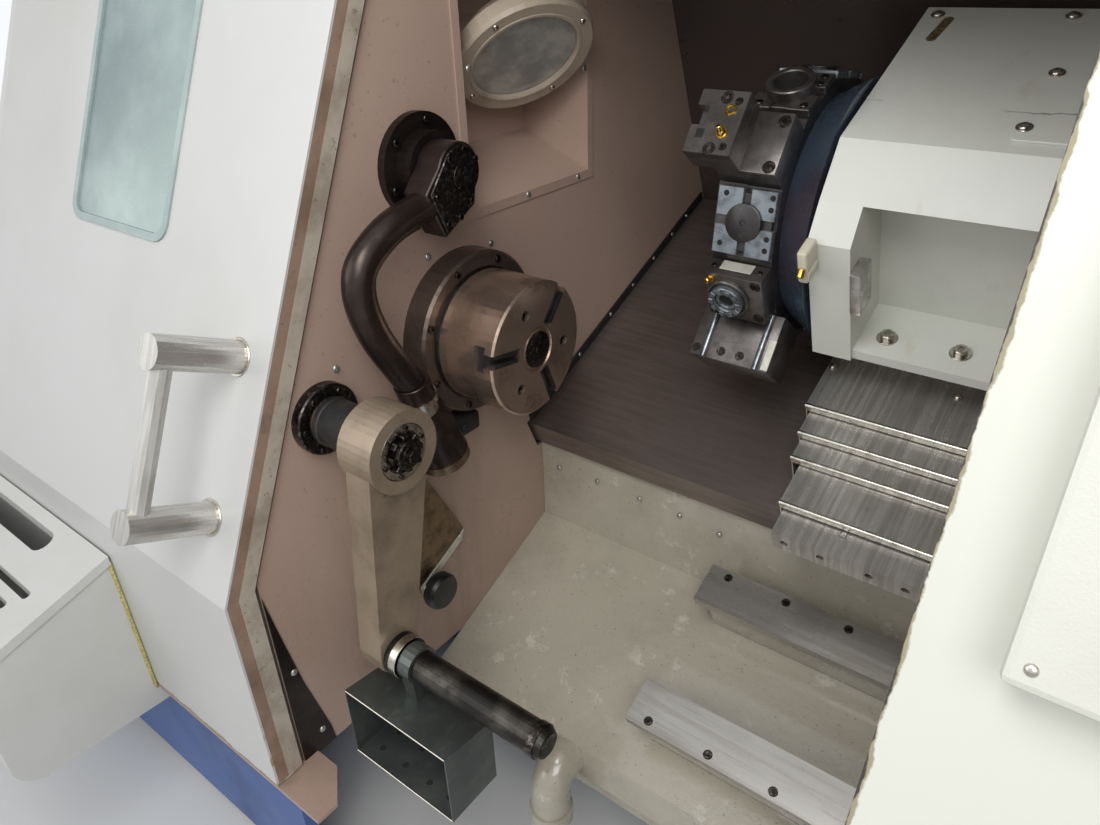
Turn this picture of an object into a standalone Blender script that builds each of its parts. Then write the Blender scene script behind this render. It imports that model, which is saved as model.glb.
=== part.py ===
# Slant bed turning lathe with a power chuck, a twelve station turret and a parts catcher.
# Metres, +Z up, +X from the headstock towards the right end, +Y to the back of the machine.
# Two frames carry the pieces: "machine" sits at the centre of the chuck's face, and
# "slope" turns with the bed, so that its Y runs up the slope and its Z stands on it.

import math
from math import cos, pi, radians, sin, tan

import bmesh
import bpy
from mathutils import Matrix, Vector

# Place of the chuck's face in the row frame
chuck_face_x = -0.05
spindle_y = -0.18
spindle_height = 1.0
slant = radians(23.5)

# Sheet metal and clearances
sheet = 0.003
seat = 0.0003

# Enclosure, measured from the chuck's face
left_end = -1.15
right_end = 1.25
wall_x = -0.153
wall_plate = 0.006
jamb_x = 0.637
end_wall_x = 0.930
front_y = -0.50
door_depth = 0.047
cover_setback = 0.055
fold_z = -0.226
lean = radians(25)
roof_z = 0.68
base_top = -0.60
cover_back = 0.86
cabinet_back = 1.105

# Base
foot_height = 0.03
foot_radius = 0.05
foot_inset = 0.10
base_front = -0.455
front_panel = 0.02
panel_end = -0.19
bay_left = -0.46
bay_back = 0.15
sill_right = -0.05
sill_back = -0.42

# Bed and ways, in the slope frame
bed_top = -0.45
bed_front = 0.03
bed_back = 0.70
guide_top = -0.41
guide_front_s = 0.148
guide_back_s = 0.628
guide_width = 0.035
way_cover_top = -0.295
way_cover_front = 0.041
way_cover_back = 0.744
way_cover_lip = 0.055
rear_wall_s = 0.75
pan_floor = -0.52
pan_front_s = -0.38
strip_y = 0.19
rail_top = -0.427
rail_thick = 0.02
rail_width = 0.072
bolt_strip = 0.026
rail_bolt_pitch = 0.1025
rail_start = 0.247
rail_back_s = -0.057
rail_front_s = -0.285

# Saddle and cross slide
saddle_left = 0.352
saddle_right = 0.66
end_block_front = -0.02
end_block_back = 0.0247
end_block_top = -0.245
saddle_top = -0.27
x_rail_top = -0.2453
slide_left = 0.336
slide_right = 0.70
slide_front = 0.325
slide_back = 0.68
slide_top = -0.118
slide_bottom = -0.1953
cover_step = 0.012
cover_one_height = 0.10
x_cover_right = 0.635

# Turret
turret_s = 0.41
stations = 12
turret_inradius = 0.187
turret_left = 0.185
turret_right = 0.279
disc_right = 0.3247
disc_small = 0.171
disc_large = 0.194
turret_shaft = 0.06
housing_left = 0.33
housing_top = 0.177

# Spindle and chuck
chuck_radius = 0.105
chuck_length = 0.106
nose_ring_radius = 0.131
nose_ring_front = -0.110
nose_ring_inner = 0.107
spindle_radius = 0.045
spindle_bore = 0.026
spindle_rear = -0.80
bearing_radius = 0.075
jaw_angles = (51, 171, 291)
jaw_width = 0.020

# Parts catcher
catcher_y = -0.29
catcher_z = -0.03
catcher_rod_y = -0.341
catcher_rod_z = -0.345
catcher_rod_radius = 0.0225

# Tool setter
setter_y = -0.062
setter_z = 0.268
setter_flange = 0.073
setter_tube = 0.022

# Door
door_left = -1.0
door_right = -0.146
door_top = 0.66
door_bottom = -0.59
window_left = -0.70
window_right = -0.42
window_bottom = 0.175
window_top = 0.56

# Front shelf
shelf_front = -0.741
shelf_back = -0.503
shelf_right = -0.50
shelf_top = -0.30
shelf_bottom = -0.64
shelf_slope = radians(17.3)
lid_thick = 0.018

# Control cabinet, on the leaning front
panel_left = 0.70
panel_right = 1.15
panel_depth = 0.05
panel_low = 0.34
panel_high = 0.92


for old in list(bpy.data.objects):
    bpy.data.objects.remove(old, do_unlink=True)

parts = bpy.data.collections.new("turning_lathe")
cutters = bpy.data.collections.new("cutters")
frames = bpy.data.collections.new("frames")
for group in (parts, cutters, frames):
    bpy.context.scene.collection.children.link(group)


def material(name, colour, roughness, metallic):
    made = bpy.data.materials.new(name)
    made.use_nodes = True
    shader = made.node_tree.nodes["Principled BSDF"]
    shader.inputs["Base Color"].default_value = (*colour, 1.0)
    shader.inputs["Roughness"].default_value = roughness
    shader.inputs["Metallic"].default_value = metallic
    return made


finishes = {
    "door white": ((0.80, 0.80, 0.78), 0.35, 0.0),
    "blue": ((0.06, 0.16, 0.30), 0.45, 0.0),
    "cream": ((0.72, 0.70, 0.60), 0.45, 0.0),
    "tan": ((0.55, 0.47, 0.40), 0.45, 0.0),
    "iron": ((0.35, 0.34, 0.33), 0.50, 0.6),
    "steel": ((0.62, 0.62, 0.60), 0.28, 1.0),
    "dark steel": ((0.12, 0.12, 0.13), 0.35, 0.9),
    "blued": ((0.10, 0.14, 0.20), 0.30, 0.9),
    "chrome": ((0.80, 0.80, 0.80), 0.12, 1.0),
    "black": ((0.03, 0.03, 0.03), 0.50, 0.0),
    "glass": ((0.70, 0.80, 0.76), 0.15, 0.0),
    "red": ((0.65, 0.04, 0.03), 0.35, 0.0),
    "green": ((0.05, 0.40, 0.12), 0.35, 0.0),
    "grey": ((0.45, 0.46, 0.46), 0.45, 0.0),
}


def frame(name, parent=None, at=(0, 0, 0), turn=(0, 0, 0)):
    """An empty that carries the pieces which move or stand together."""
    empty = bpy.data.objects.new(name, None)
    empty.location = at
    empty.rotation_euler = turn
    empty.parent = parent
    frames.objects.link(empty)
    return empty


def place(obj, parent, finish):
    """Puts a finished piece in the object's collection, or a cutter in the other one."""
    obj.parent = parent
    if finish is None:
        cutters.objects.link(obj)
        obj.hide_render = True
        obj.display_type = "WIRE"
        return obj
    parts.objects.link(obj)
    colour, roughness, metallic = finishes[finish]
    obj.data.materials.append(material(obj.name, colour, roughness, metallic))
    return obj


def mesh_object(name, bm, parent, finish, at=(0, 0, 0)):
    bmesh.ops.recalc_face_normals(bm, faces=bm.faces)
    mesh = bpy.data.meshes.new(name)
    bm.to_mesh(mesh)
    bm.free()
    obj = bpy.data.objects.new(name, mesh)
    obj.location = at
    return place(obj, parent, finish)


def smooth(obj, angle=35):
    obj.data.shade_smooth()
    obj.data.set_sharp_from_angle(angle=radians(angle))
    return obj


def round_edges(obj, width, segments=2, angle=40):
    bevel = obj.modifiers.new("round edges", "BEVEL")
    bevel.width = width
    bevel.segments = segments
    bevel.limit_method = "ANGLE"
    bevel.angle_limit = radians(angle)
    return obj


def block(name, parent, finish, x, y, z):
    """A box between two values on each axis."""
    bm = bmesh.new()
    size = (x[1] - x[0], y[1] - y[0], z[1] - z[0])
    bmesh.ops.create_cube(bm, size=1.0, matrix=Matrix.Diagonal((*size, 1)))
    middle = ((x[0] + x[1]) / 2, (y[0] + y[1]) / 2, (z[0] + z[1]) / 2)
    return mesh_object(name, bm, parent, finish, middle)


def rod(name, parent, finish, start, end, radius, sides=24):
    """A straight round bar between two points."""
    start, end = Vector(start), Vector(end)
    along = end - start
    turn = along.to_track_quat("Z", "Y").to_matrix().to_4x4()
    bm = bmesh.new()
    bmesh.ops.create_cone(bm, cap_ends=True, segments=sides, radius1=radius, radius2=radius,
                          depth=along.length, matrix=turn)
    obj = mesh_object(name, bm, parent, finish, (start + end) / 2)
    return smooth(obj)


def turned(name, parent, finish, profile, at=(0, 0, 0), axis=(1, 0, 0), steps=32, closed=False):
    """A turned shape: profile points are (radius, height along the axis), top to bottom."""
    mesh = bpy.data.meshes.new(name)
    edges = [(i, i + 1) for i in range(len(profile) - 1)]
    if closed:
        edges.append((len(profile) - 1, 0))
    mesh.from_pydata([(r, 0, h) for r, h in profile], edges, [])
    obj = bpy.data.objects.new(name, mesh)
    obj.location = at
    obj.rotation_euler = Vector(axis).to_track_quat("Z", "Y").to_euler()
    spin = obj.modifiers.new("turn", "SCREW")
    spin.axis = "Z"
    spin.steps = steps
    spin.render_steps = steps
    spin.use_merge_vertices = True
    spin.merge_threshold = 0.0001
    return place(obj, parent, finish)


def to_mesh(curve_object, parent, finish, straight=True):
    """Replaces a curve with a welded mesh of the same shape."""
    graph = bpy.context.evaluated_depsgraph_get()
    mesh = bpy.data.meshes.new_from_object(curve_object.evaluated_get(graph))
    mesh.transform(curve_object.matrix_basis.to_3x3().to_4x4())
    name = curve_object.name
    at = curve_object.location.copy()
    bpy.data.objects.remove(curve_object, do_unlink=True)
    bm = bmesh.new()
    bm.from_mesh(mesh)
    bmesh.ops.remove_doubles(bm, verts=bm.verts, dist=0.00002)
    if straight:
        bmesh.ops.dissolve_limit(bm, angle_limit=radians(0.5), verts=bm.verts, edges=bm.edges)
    return mesh_object(name, bm, parent, finish, at)


turns = {"X": (pi / 2, 0, pi / 2), "Y": (pi / 2, 0, 0), "Z": (0, 0, 0)}


def prism(name, parent, finish, outline, span, along="X"):
    """A flat outline drawn out along an axis: (y, z) along X, (x, z) along Y, (x, y) along Z."""
    curve = bpy.data.curves.new(name, "CURVE")
    curve.dimensions = "2D"
    curve.fill_mode = "BOTH"
    curve.extrude = abs(span[1] - span[0]) / 2
    line = curve.splines.new("POLY")
    line.points.add(len(outline) - 1)
    for point, place_at in zip(line.points, outline):
        point.co = (place_at[0], place_at[1], 0, 1)
    line.use_cyclic_u = True
    obj = bpy.data.objects.new(name, curve)
    bpy.context.scene.collection.objects.link(obj)
    middle = (span[0] + span[1]) / 2
    obj.location = [middle if along == letter else 0 for letter in "XYZ"]
    obj.rotation_euler = turns[along]
    bpy.context.view_layer.update()
    return to_mesh(obj, parent, finish)


def tube(name, parent, finish, points, radius, resolution=3):
    """A bent tube or bar with filled ends."""
    curve = bpy.data.curves.new(name, "CURVE")
    curve.dimensions = "3D"
    curve.bevel_depth = radius
    curve.bevel_resolution = resolution
    curve.use_fill_caps = True
    line = curve.splines.new("POLY")
    line.points.add(len(points) - 1)
    for point, place_at in zip(line.points, points):
        point.co = (*place_at, 1)
    obj = bpy.data.objects.new(name, curve)
    bpy.context.scene.collection.objects.link(obj)
    bpy.context.view_layer.update()
    return smooth(to_mesh(obj, parent, finish, straight=False))


def shell(name, parent, finish, outline, span, open_sides, wall=sheet, along="X"):
    """A folded sheet housing: the drawn-out outline without its open sides, given a wall."""
    obj = prism(name, parent, finish, outline, span, along)
    bm = bmesh.new()
    bm.from_mesh(obj.data)
    gone = [f for f in bm.faces if any(f.normal.dot(Vector(side)) > 0.99 for side in open_sides)]
    bmesh.ops.delete(bm, geom=gone, context="FACES")
    bm.to_mesh(obj.data)
    bm.free()
    thick = obj.modifiers.new("sheet", "SOLIDIFY")
    thick.thickness = wall
    thick.offset = -1
    thick.use_even_offset = True
    return obj


def folded(name, parent, finish, line, span, wall=sheet, side=-1, along="X"):
    """A sheet folded along a line of points and drawn out along an axis."""
    bm = bmesh.new()
    order = {"X": lambda a, b, c: (c, a, b), "Y": lambda a, b, c: (a, c, b)}[along]
    points = [bm.verts.new(order(a, b, span[0])) for a, b in line]
    edges = [bm.edges.new(pair) for pair in zip(points, points[1:])]
    grown = bmesh.ops.extrude_edge_only(bm, edges=edges)["geom"]
    moved = [v for v in grown if isinstance(v, bmesh.types.BMVert)]
    bmesh.ops.translate(bm, verts=moved, vec=order(0, 0, span[1] - span[0]))
    obj = mesh_object(name, bm, parent, finish)
    thick = obj.modifiers.new("sheet", "SOLIDIFY")
    thick.thickness = wall
    thick.offset = side
    thick.use_even_offset = True
    return obj


def combine(obj, other, operation):
    change = obj.modifiers.new(operation.lower(), "BOOLEAN")
    change.object = other
    change.operation = operation
    change.solver = "EXACT"
    return obj


def cut(obj, *tools):
    for tool in tools:
        combine(obj, tool, "DIFFERENCE")
    return obj


def join(obj, *others):
    for other in others:
        combine(obj, other, "UNION")
    return obj


def arc(centre, radius, first, last, steps):
    """Points on an arc, angles in degrees."""
    found = []
    for i in range(steps + 1):
        angle = radians(first + (last - first) * i / steps)
        found.append((centre[0] + radius * cos(angle), centre[1] + radius * sin(angle)))
    return found


def flowing(points, between):
    """Adds points between those of a route, so that it bends smoothly through them."""
    route = []
    for i in range(len(points) - 1):
        before, first = Vector(points[max(i - 1, 0)]), Vector(points[i])
        second, after = Vector(points[i + 1]), Vector(points[min(i + 2, len(points) - 1)])
        for j in range(between):
            t = j / between
            pull = (second - before) * (t * (1 - t) ** 2 / 2) - (after - first) * (t ** 2 * (1 - t) / 2)
            route.append(first.lerp(second, t * t * (3 - 2 * t)) + pull)
    return [tuple(p) for p in route] + [points[-1]]


def rounded_rectangle(low, high, radius, steps=4):
    """An outline between two corners with its four corners rounded."""
    (x0, y0), (x1, y1) = low, high
    return (arc((x1 - radius, y1 - radius), radius, 0, 90, steps)
            + arc((x0 + radius, y1 - radius), radius, 90, 180, steps)
            + arc((x0 + radius, y0 + radius), radius, 180, 270, steps)
            + arc((x1 - radius, y0 + radius), radius, 270, 360, steps))


def front_line(setback, z):
    """The y of the enclosure's folded front at a height, set back from the outer plane."""
    return front_y + setback + max(0.0, z - fold_z) * tan(lean)


def up_slope(s, n):
    """A place on the slope frame as (y, z) in the machine frame."""
    return (s * cos(slant) - n * sin(slant), s * sin(slant) + n * cos(slant))


machine = frame("machine", at=(chuck_face_x, spindle_y, spindle_height))
slope = frame("slope", machine, turn=(slant, 0, 0))
floor_z = -spindle_height


# Base with the front bay that the chips fall into

bay_right = end_wall_x + 0.02
base_outline = [
    (left_end, base_front), (panel_end, base_front), (panel_end, base_front + front_panel),
    (bay_left, base_front + front_panel), (bay_left, bay_back), (bay_right, bay_back),
    (bay_right, base_front), (right_end, base_front), (right_end, cover_back), (left_end, cover_back),
]
base = prism("base_frame", machine, "blue", base_outline, (floor_z + foot_height, base_top), "Z")
foot_columns = (left_end + foot_inset, right_end - foot_inset)
foot_rows = (base_front + foot_inset, cover_back - foot_inset)
foot_places = [(x, y) for x in foot_columns for y in foot_rows]
foot_places += [(bay_left - foot_inset, foot_rows[0]), (sum(foot_columns) / 2, foot_rows[1])]
for number, (x, y) in enumerate(foot_places):
    join(base, rod("foot_%d" % number, machine, None, (x, y, floor_z), (x, y, floor_z + foot_height + 0.01),
                   foot_radius, 12))

sill_wall = front_line(cover_setback, base_top) - seat
sill_outline = [
    (left_end, front_y), (sill_right, front_y), (sill_right, sill_wall - 0.018), (wall_x + 0.05, sill_back),
    (wall_x + 0.001, sill_back), (wall_x + 0.001, sill_wall), (left_end, sill_wall),
]
prism("front_sill", machine, "tan", sill_outline, (base_top + seat, base_top + 0.0075), "Z")


# Bed casting: slanted wedge, guide rails, pan support and rail supports

wedge = [up_slope(bed_front, bed_top), up_slope(bed_back, bed_top)]
wedge += [(wedge[1][0], base_top + seat), (wedge[0][0], base_top + seat)]
bed = prism("bed_casting", machine, "cream", wedge, (left_end + 0.15, right_end - 0.10))
pan_back_z = up_slope(0, pan_floor)[1]
shelf_edge = up_slope(pan_front_s + 0.02, pan_floor - 0.0043)
under_pan = [
    shelf_edge, up_slope(0.0, pan_floor - 0.0043), (0.25, -0.46), (0.25, base_top + 0.02),
    (bay_back - 0.0006, base_top + seat), (bay_back - 0.0006, base_top - 0.16),
    (shelf_edge[0] + 0.006, base_top - 0.16),
]
join(bed, prism("bed_apron", machine, None, under_pan, (wall_x + 0.013, end_wall_x - 0.01)))
for number, s in enumerate((guide_front_s, guide_back_s)):
    join(bed, block("guide_%d" % number, slope, None, (-0.45, right_end - 0.15),
                    (s - guide_width / 2, s + guide_width / 2), (bed_top - 0.01, guide_top)))
supports = []
for number, s in enumerate((rail_back_s, rail_front_s)):
    step = block("rail_support_%d" % number, slope, None, (rail_start + 0.02, end_wall_x - 0.01),
                 (s - 0.026, s + 0.026), (pan_floor - 0.01, rail_top - rail_thick - seat))
    supports.append(step)
    join(bed, step)

z_screw_s = 0.38
z_screw_n = -0.355
z_screw_radius = 0.016
screw_block_x = 1.02
bearing_block = block("z_screw_block", slope, None, (screw_block_x, screw_block_x + 0.04),
                      (z_screw_s - 0.04, z_screw_s + 0.04), (bed_top - 0.01, -0.31))
join(bed, bearing_block)
cut(bed, rod("z_screw_seat", slope, None, (screw_block_x - 0.01, z_screw_s, z_screw_n),
             (screw_block_x + 0.05, z_screw_s, z_screw_n), z_screw_radius + seat, 24))


# Chip pan: back strip, sloping floor and front drop in one folded sheet

pan_line = [
    (strip_y, up_slope(way_cover_front, way_cover_top - way_cover_lip)[1] - 0.006),
    (strip_y, pan_back_z + (strip_y - up_slope(0, pan_floor)[0]) * tan(slant)),
    up_slope(pan_front_s, pan_floor),
    (up_slope(pan_front_s, pan_floor)[0], up_slope(pan_front_s, pan_floor)[1] - 0.07),
]
pan = folded("chip_pan", machine, "cream", pan_line, (wall_x + seat, end_wall_x - 0.006), side=-1)
for number, s in enumerate((rail_back_s, rail_front_s)):
    cut(pan, block("pan_gap_%d" % number, slope, None, (rail_start + 0.02 - seat, end_wall_x),
                   (s - 0.026 - seat, s + 0.026 + seat), (pan_floor - 0.02, pan_floor + 0.02)))

elbow_x = 0.165
elbow_top = up_slope(pan_front_s, pan_floor)[1] - 0.033
elbow_start = up_slope(pan_front_s, pan_floor)[0] - seat
elbow_drop = 0.105
elbow_bend = arc((elbow_start - 0.010, elbow_top - 0.04), 0.04, 90, 180, 5)
elbow_line = [(elbow_x, elbow_start, elbow_top)] + [(elbow_x, y, z) for y, z in elbow_bend]
elbow_line.append((elbow_x, elbow_bend[-1][0], elbow_top - elbow_drop))
tube("drain_elbow", machine, "tan", elbow_line, 0.032)


# Ground rails that carry the right-hand unit

def ground_rail(name, centre_s, strip_side):
    """A flat rail with a bolt strip a hair lower than its guide face."""
    half = rail_width / 2
    low_top = rail_top - 0.0015
    near, far = centre_s - strip_side * half, centre_s + strip_side * half
    inner = far - strip_side * bolt_strip
    outline = [(near, rail_top - rail_thick), (near, rail_top), (inner, rail_top), (inner, low_top),
               (far, low_top), (far, rail_top - rail_thick)]
    rail = prism(name, slope, "steel", outline, (rail_start, end_wall_x - 0.012))
    middle = far - strip_side * bolt_strip / 2
    for i in range(6):
        x = rail_start + 0.035 + i * rail_bolt_pitch
        cut(rail, rod("%s_bolt_%d" % (name, i), slope, None, (x, middle, rail_top - 0.008),
                      (x, middle, rail_top + 0.01), 0.0075, 10))
    return rail


ground_rail("rail_back", rail_back_s, 1)
ground_rail("rail_front", rail_front_s, -1)


# Enclosure

def cover_outline(setback, inset=0.0):
    return [
        (front_line(setback, base_top) + inset, base_top + seat),
        (front_line(setback, base_top) + inset, fold_z),
        (front_line(setback, roof_z) + inset, roof_z - inset),
        (cover_back - inset, roof_z - inset),
        (cover_back - inset, base_top + seat),
    ]


left_cover = shell("left_cover", machine, "door white", cover_outline(cover_setback),
                   (left_end, wall_x - wall_plate - seat), ((1, 0, 0), (0, 0, -1)))
right_cover = shell("right_cover", machine, "door white", cover_outline(0.0),
                    (jamb_x, right_end), ((0, 0, -1),))
jamb_flange = 0.035
roof_inside = roof_z - sheet - 0.0005
frame_inset = [
    (front_y + jamb_flange, base_top - 0.02), (front_y + jamb_flange, fold_z),
    (front_line(jamb_flange, roof_inside), roof_inside), (cover_back - sheet - 0.0005, roof_inside),
    (cover_back - sheet - 0.0005, base_top - 0.02),
]
cut(right_cover, prism("right_cover_inside", machine, None, frame_inset, (jamb_x - 0.01, jamb_x + 0.01)))

under_cover = way_cover_top - way_cover_lip - 0.01
slot_points = [
    (strip_y, base_top + seat), (strip_y, up_slope(way_cover_front - 0.006, under_cover)[1]),
    up_slope(way_cover_front - 0.006, under_cover), up_slope(way_cover_front - 0.006, way_cover_top + 0.006),
    up_slope(rear_wall_s + 0.003, way_cover_top + 0.006),
    (up_slope(bed_back, bed_top)[0] + 0.004, up_slope(bed_back, bed_top)[1]),
    (up_slope(bed_back, bed_top)[0] + 0.004, base_top + seat),
]
wall_edge = cover_outline(cover_setback)
wall_outline = [wall_edge[0]] + slot_points + [wall_edge[4], wall_edge[3], wall_edge[2], wall_edge[1]]
headstock_wall = prism("headstock_wall", machine, "tan", wall_outline, (wall_x - wall_plate, wall_x))
spigot_radius = 0.115
cut(headstock_wall, rod("nose_hole", machine, None, (wall_x - 0.02, 0, 0), (wall_x + 0.01, 0, 0),
                        spigot_radius + seat, 48))
inner_edge = cover_outline(0.0, sheet + 0.0005)
end_outline = [inner_edge[0]] + slot_points + [inner_edge[4], inner_edge[3], inner_edge[2], inner_edge[1]]
prism("end_wall", machine, "tan", end_outline, (end_wall_x, end_wall_x + wall_plate))

rear_top = (roof_z - 0.006 - rear_wall_s * sin(slant)) / cos(slant)
rear_wall = block("rear_wall", slope, "tan", (wall_x + seat, end_wall_x - seat),
                  (rear_wall_s, rear_wall_s + sheet), (way_cover_top - 0.025, rear_top))
roof_front = front_line(cover_setback, roof_z)
roof_panel = block("roof_panel", machine, "door white", (wall_x + seat, jamb_x - seat),
                   (roof_front, cover_back), (roof_z - sheet, roof_z))
cabinet = block("electrical_cabinet", machine, "door white", (left_end + 0.30, right_end - 0.45),
                (cover_back + seat, cabinet_back), (floor_z + 0.12, roof_z - 0.06))
round_edges(cabinet, 0.006)
rail_front_y = front_line(0.0, door_top) - 0.004
rail_outline = [
    (rail_front_y, door_top + seat), (rail_front_y, roof_z), (roof_front - seat, roof_z),
    (front_line(cover_setback, door_top) - seat, door_top + seat),
]
prism("door_rail", machine, "door white", rail_outline, (left_end, jamb_x - seat))


# Front shelf box and its slotted lid

lid_drop = (shelf_back - shelf_front) * tan(shelf_slope)
box_top_back = shelf_top - lid_thick - seat
box_outline = [
    (base_front - seat, shelf_bottom), (base_front - seat, base_top - 0.003), (shelf_back, base_top - 0.003),
    (shelf_back, box_top_back), (shelf_front, box_top_back - lid_drop),
    (shelf_front, shelf_bottom + 0.07),
] + arc((shelf_front + 0.05, shelf_bottom + 0.06), 0.05, 180, 260, 5)
shelf_box = shell("shelf_box", machine, "door white", box_outline, (left_end, shelf_right),
                  ((0, -sin(shelf_slope), cos(shelf_slope)),))
rim_rise = sheet * tan(shelf_slope) + seat
lid_front = shelf_front - 0.004
lid_outline = [
    (shelf_back, box_top_back + rim_rise), (shelf_back, shelf_top), (lid_front, shelf_top - lid_drop),
    (lid_front, box_top_back - lid_drop + rim_rise),
]
shelf_lid = prism("shelf_lid", machine, "door white", lid_outline, (left_end, shelf_right + 0.004))
slot_rows = ((0.040, 0.038, -0.628), (0.110, 0.014, -0.552), (0.140, 0.014, -0.573))
for number, (back_gap, width, right) in enumerate(slot_rows):
    middle = shelf_back - back_gap
    outline = rounded_rectangle((left_end + 0.10, middle - width / 2), (right, middle + width / 2),
                                width * 0.49, 4)
    cut(shelf_lid, prism("lid_slot_%d" % number, machine, None, outline,
                         (shelf_top - 0.14, shelf_top + 0.02), "Z"))


# Headstock, spindle bearings and the motor built round the spindle

head_outline = [
    (-0.20, base_top + seat), (0.165, base_top + seat), (0.165, -0.345), (0.12, -0.245), (0.20, -0.17),
    (0.21, 0.08), (0.11, 0.165), (-0.11, 0.165), (-0.20, 0.10),
]
head_rear = -0.62
headstock = prism("headstock_casting", machine, "iron", head_outline, (head_rear, wall_x - 0.017))
join(headstock, rod("head_spigot", machine, None, (wall_x - 0.03, 0, 0), (wall_x, 0, 0), spigot_radius, 48))
cut(headstock, rod("head_bore", machine, None, (head_rear - 0.08, 0, 0), (0, 0, 0),
                   bearing_radius + seat, 48))


def ring(name, parent, finish, outer, inner, x, at=(0, 0), steps=32):
    """A plain turned ring between two places along X."""
    profile = [(outer, x[1]), (outer, x[0]), (inner, x[0]), (inner, x[1])]
    return turned(name, parent, finish, profile, (0, *at), steps=steps, closed=True)


bearing_bore = spindle_radius + seat
ring("front_bearing", machine, "steel", bearing_radius, bearing_bore, (-0.26, -0.185))
ring("motor_stator", machine, "dark steel", bearing_radius, spindle_radius + 0.0195, (-0.56, -0.29))

flange_radius = 0.088
turned("nose_ring", machine, "dark steel", [
    (nose_ring_radius - 0.004, nose_ring_front), (nose_ring_radius, nose_ring_front - 0.004),
    (nose_ring_radius, wall_x + seat), (flange_radius + 0.004, wall_x + seat),
    (flange_radius + 0.004, nose_ring_front - 0.012), (nose_ring_inner, nose_ring_front - 0.012),
    (nose_ring_inner, nose_ring_front)], steps=48, closed=True)

spindle = frame("spindle", machine)
neck_radius = spindle_radius + 0.020
rotor_radius = spindle_radius + 0.018
shaft_profile = [
    (flange_radius, -chuck_length - seat), (flange_radius, wall_x + 0.012), (neck_radius, wall_x + 0.003),
    (neck_radius, -0.184), (spindle_radius, -0.184), (spindle_radius, -0.27), (rotor_radius, -0.27),
    (rotor_radius, -0.575), (spindle_radius, -0.575), (spindle_radius, spindle_rear),
    (spindle_bore, spindle_rear), (spindle_bore, -chuck_length - seat),
]
turned("spindle_shaft", spindle, "steel", shaft_profile, steps=32, closed=True)
turned("chuck_cylinder", spindle, "dark steel", [
    (0.075, spindle_rear + 0.12), (0.08, spindle_rear + 0.11), (0.08, spindle_rear - 0.04),
    (0.05, spindle_rear - 0.05), (0.05, spindle_rear - 0.10), (spindle_bore, spindle_rear - 0.10),
    (spindle_bore, spindle_rear - seat), (spindle_radius + seat, spindle_rear - seat),
    (spindle_radius + seat, spindle_rear + 0.12)], steps=28, closed=True)

chuck_edge = 0.003
chuck = turned("chuck_body", spindle, "steel", [
    (0, 0), (0.029, 0), (0.030, -chuck_edge), (0.034, -chuck_edge), (0.036, 0),
    (chuck_radius - chuck_edge, 0), (chuck_radius, -chuck_edge), (chuck_radius, -chuck_length + chuck_edge),
    (chuck_radius - chuck_edge, -chuck_length), (0, -chuck_length)], steps=56)
jaw_neck = 0.016
jaw_depth = 0.034
jaw_inner = chuck_radius * 0.44
jaw_outer = chuck_radius * 0.915
bolt_circle = chuck_radius * 0.63
for number, angle in enumerate(jaw_angles, start=1):
    turn = radians(angle)
    track = frame("jaw_track_%d" % number, spindle, turn=(turn, 0, 0))
    cut(chuck, block("jaw_slot_%d" % number, track, None, (-jaw_neck - 0.004, 0.01),
                     (jaw_inner - 0.006, chuck_radius + 0.01), (-jaw_width / 2 - seat, jaw_width / 2 + seat)))
    cut(chuck, block("jaw_tee_%d" % number, track, None, (-jaw_depth - seat, -jaw_neck + seat),
                     (jaw_inner - 0.0055, chuck_radius + 0.012), (-jaw_width - seat, jaw_width + seat)))
    jaw = block("master_jaw_%d" % number, track, "dark steel", (-jaw_neck - 0.002, 0.0),
                (jaw_inner, jaw_outer), (-jaw_width / 2, jaw_width / 2))
    join(jaw, block("jaw_foot_%d" % number, track, None, (-jaw_depth, -jaw_neck),
                    (jaw_inner, jaw_outer), (-jaw_width, jaw_width)))
    cut(jaw, block("jaw_channel_%d" % number, track, None, (-0.010, 0.01),
                   (jaw_inner - 0.01, jaw_outer + 0.01), (-0.0045, 0.0045)))
for number, angle in enumerate(jaw_angles):
    turn = radians(angle + 60)
    y, z = bolt_circle * cos(turn), bolt_circle * sin(turn)
    cut(chuck, rod("chuck_bolt_%d" % number, spindle, None, (-0.012, y, z), (0.01, y, z), 0.0085, 14))


# Saddle on the Z guides, with the sheets that cover the ways

saddle = block("saddle", slope, "iron", (saddle_left, saddle_right), (0.06, bed_back),
               (guide_top + seat, way_cover_top - seat))
saddle_core_right = 0.552
saddle_profile = [
    (0.0, -0.280), (0.0, saddle_top), (0.66, saddle_top), (0.66, -0.31), (way_cover_front + 0.03, -0.31),
    (way_cover_front + 0.03, -0.280),
]
join(saddle, prism("saddle_core", slope, None, saddle_profile, (0.368, saddle_core_right)))
join(saddle, block("end_block", slope, None, (0.366, x_cover_right - 0.003),
                   (end_block_front, end_block_back), (-0.285, end_block_top)))
x_rails = (0.395, 0.520)
for number, x in enumerate(x_rails):
    join(saddle, block("x_rail_%d" % number, slope, None, (x - 0.014, x + 0.014),
                       (end_block_back - 0.002, 0.655), (saddle_top - 0.01, x_rail_top)))
cut(saddle, rod("z_nut", slope, None, (saddle_left - 0.05, z_screw_s, z_screw_n),
                (saddle_right + 0.06, z_screw_s, z_screw_n), z_screw_radius + seat, 24))
x_screw_x = 0.46
x_screw_n = -0.2565
x_screw_radius = 0.0125
cut(saddle, rod("x_screw_seat", slope, None, (x_screw_x, end_block_back - 0.012, x_screw_n),
                (x_screw_x, end_block_back + 0.02, x_screw_n), x_screw_radius + seat, 24))
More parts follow.
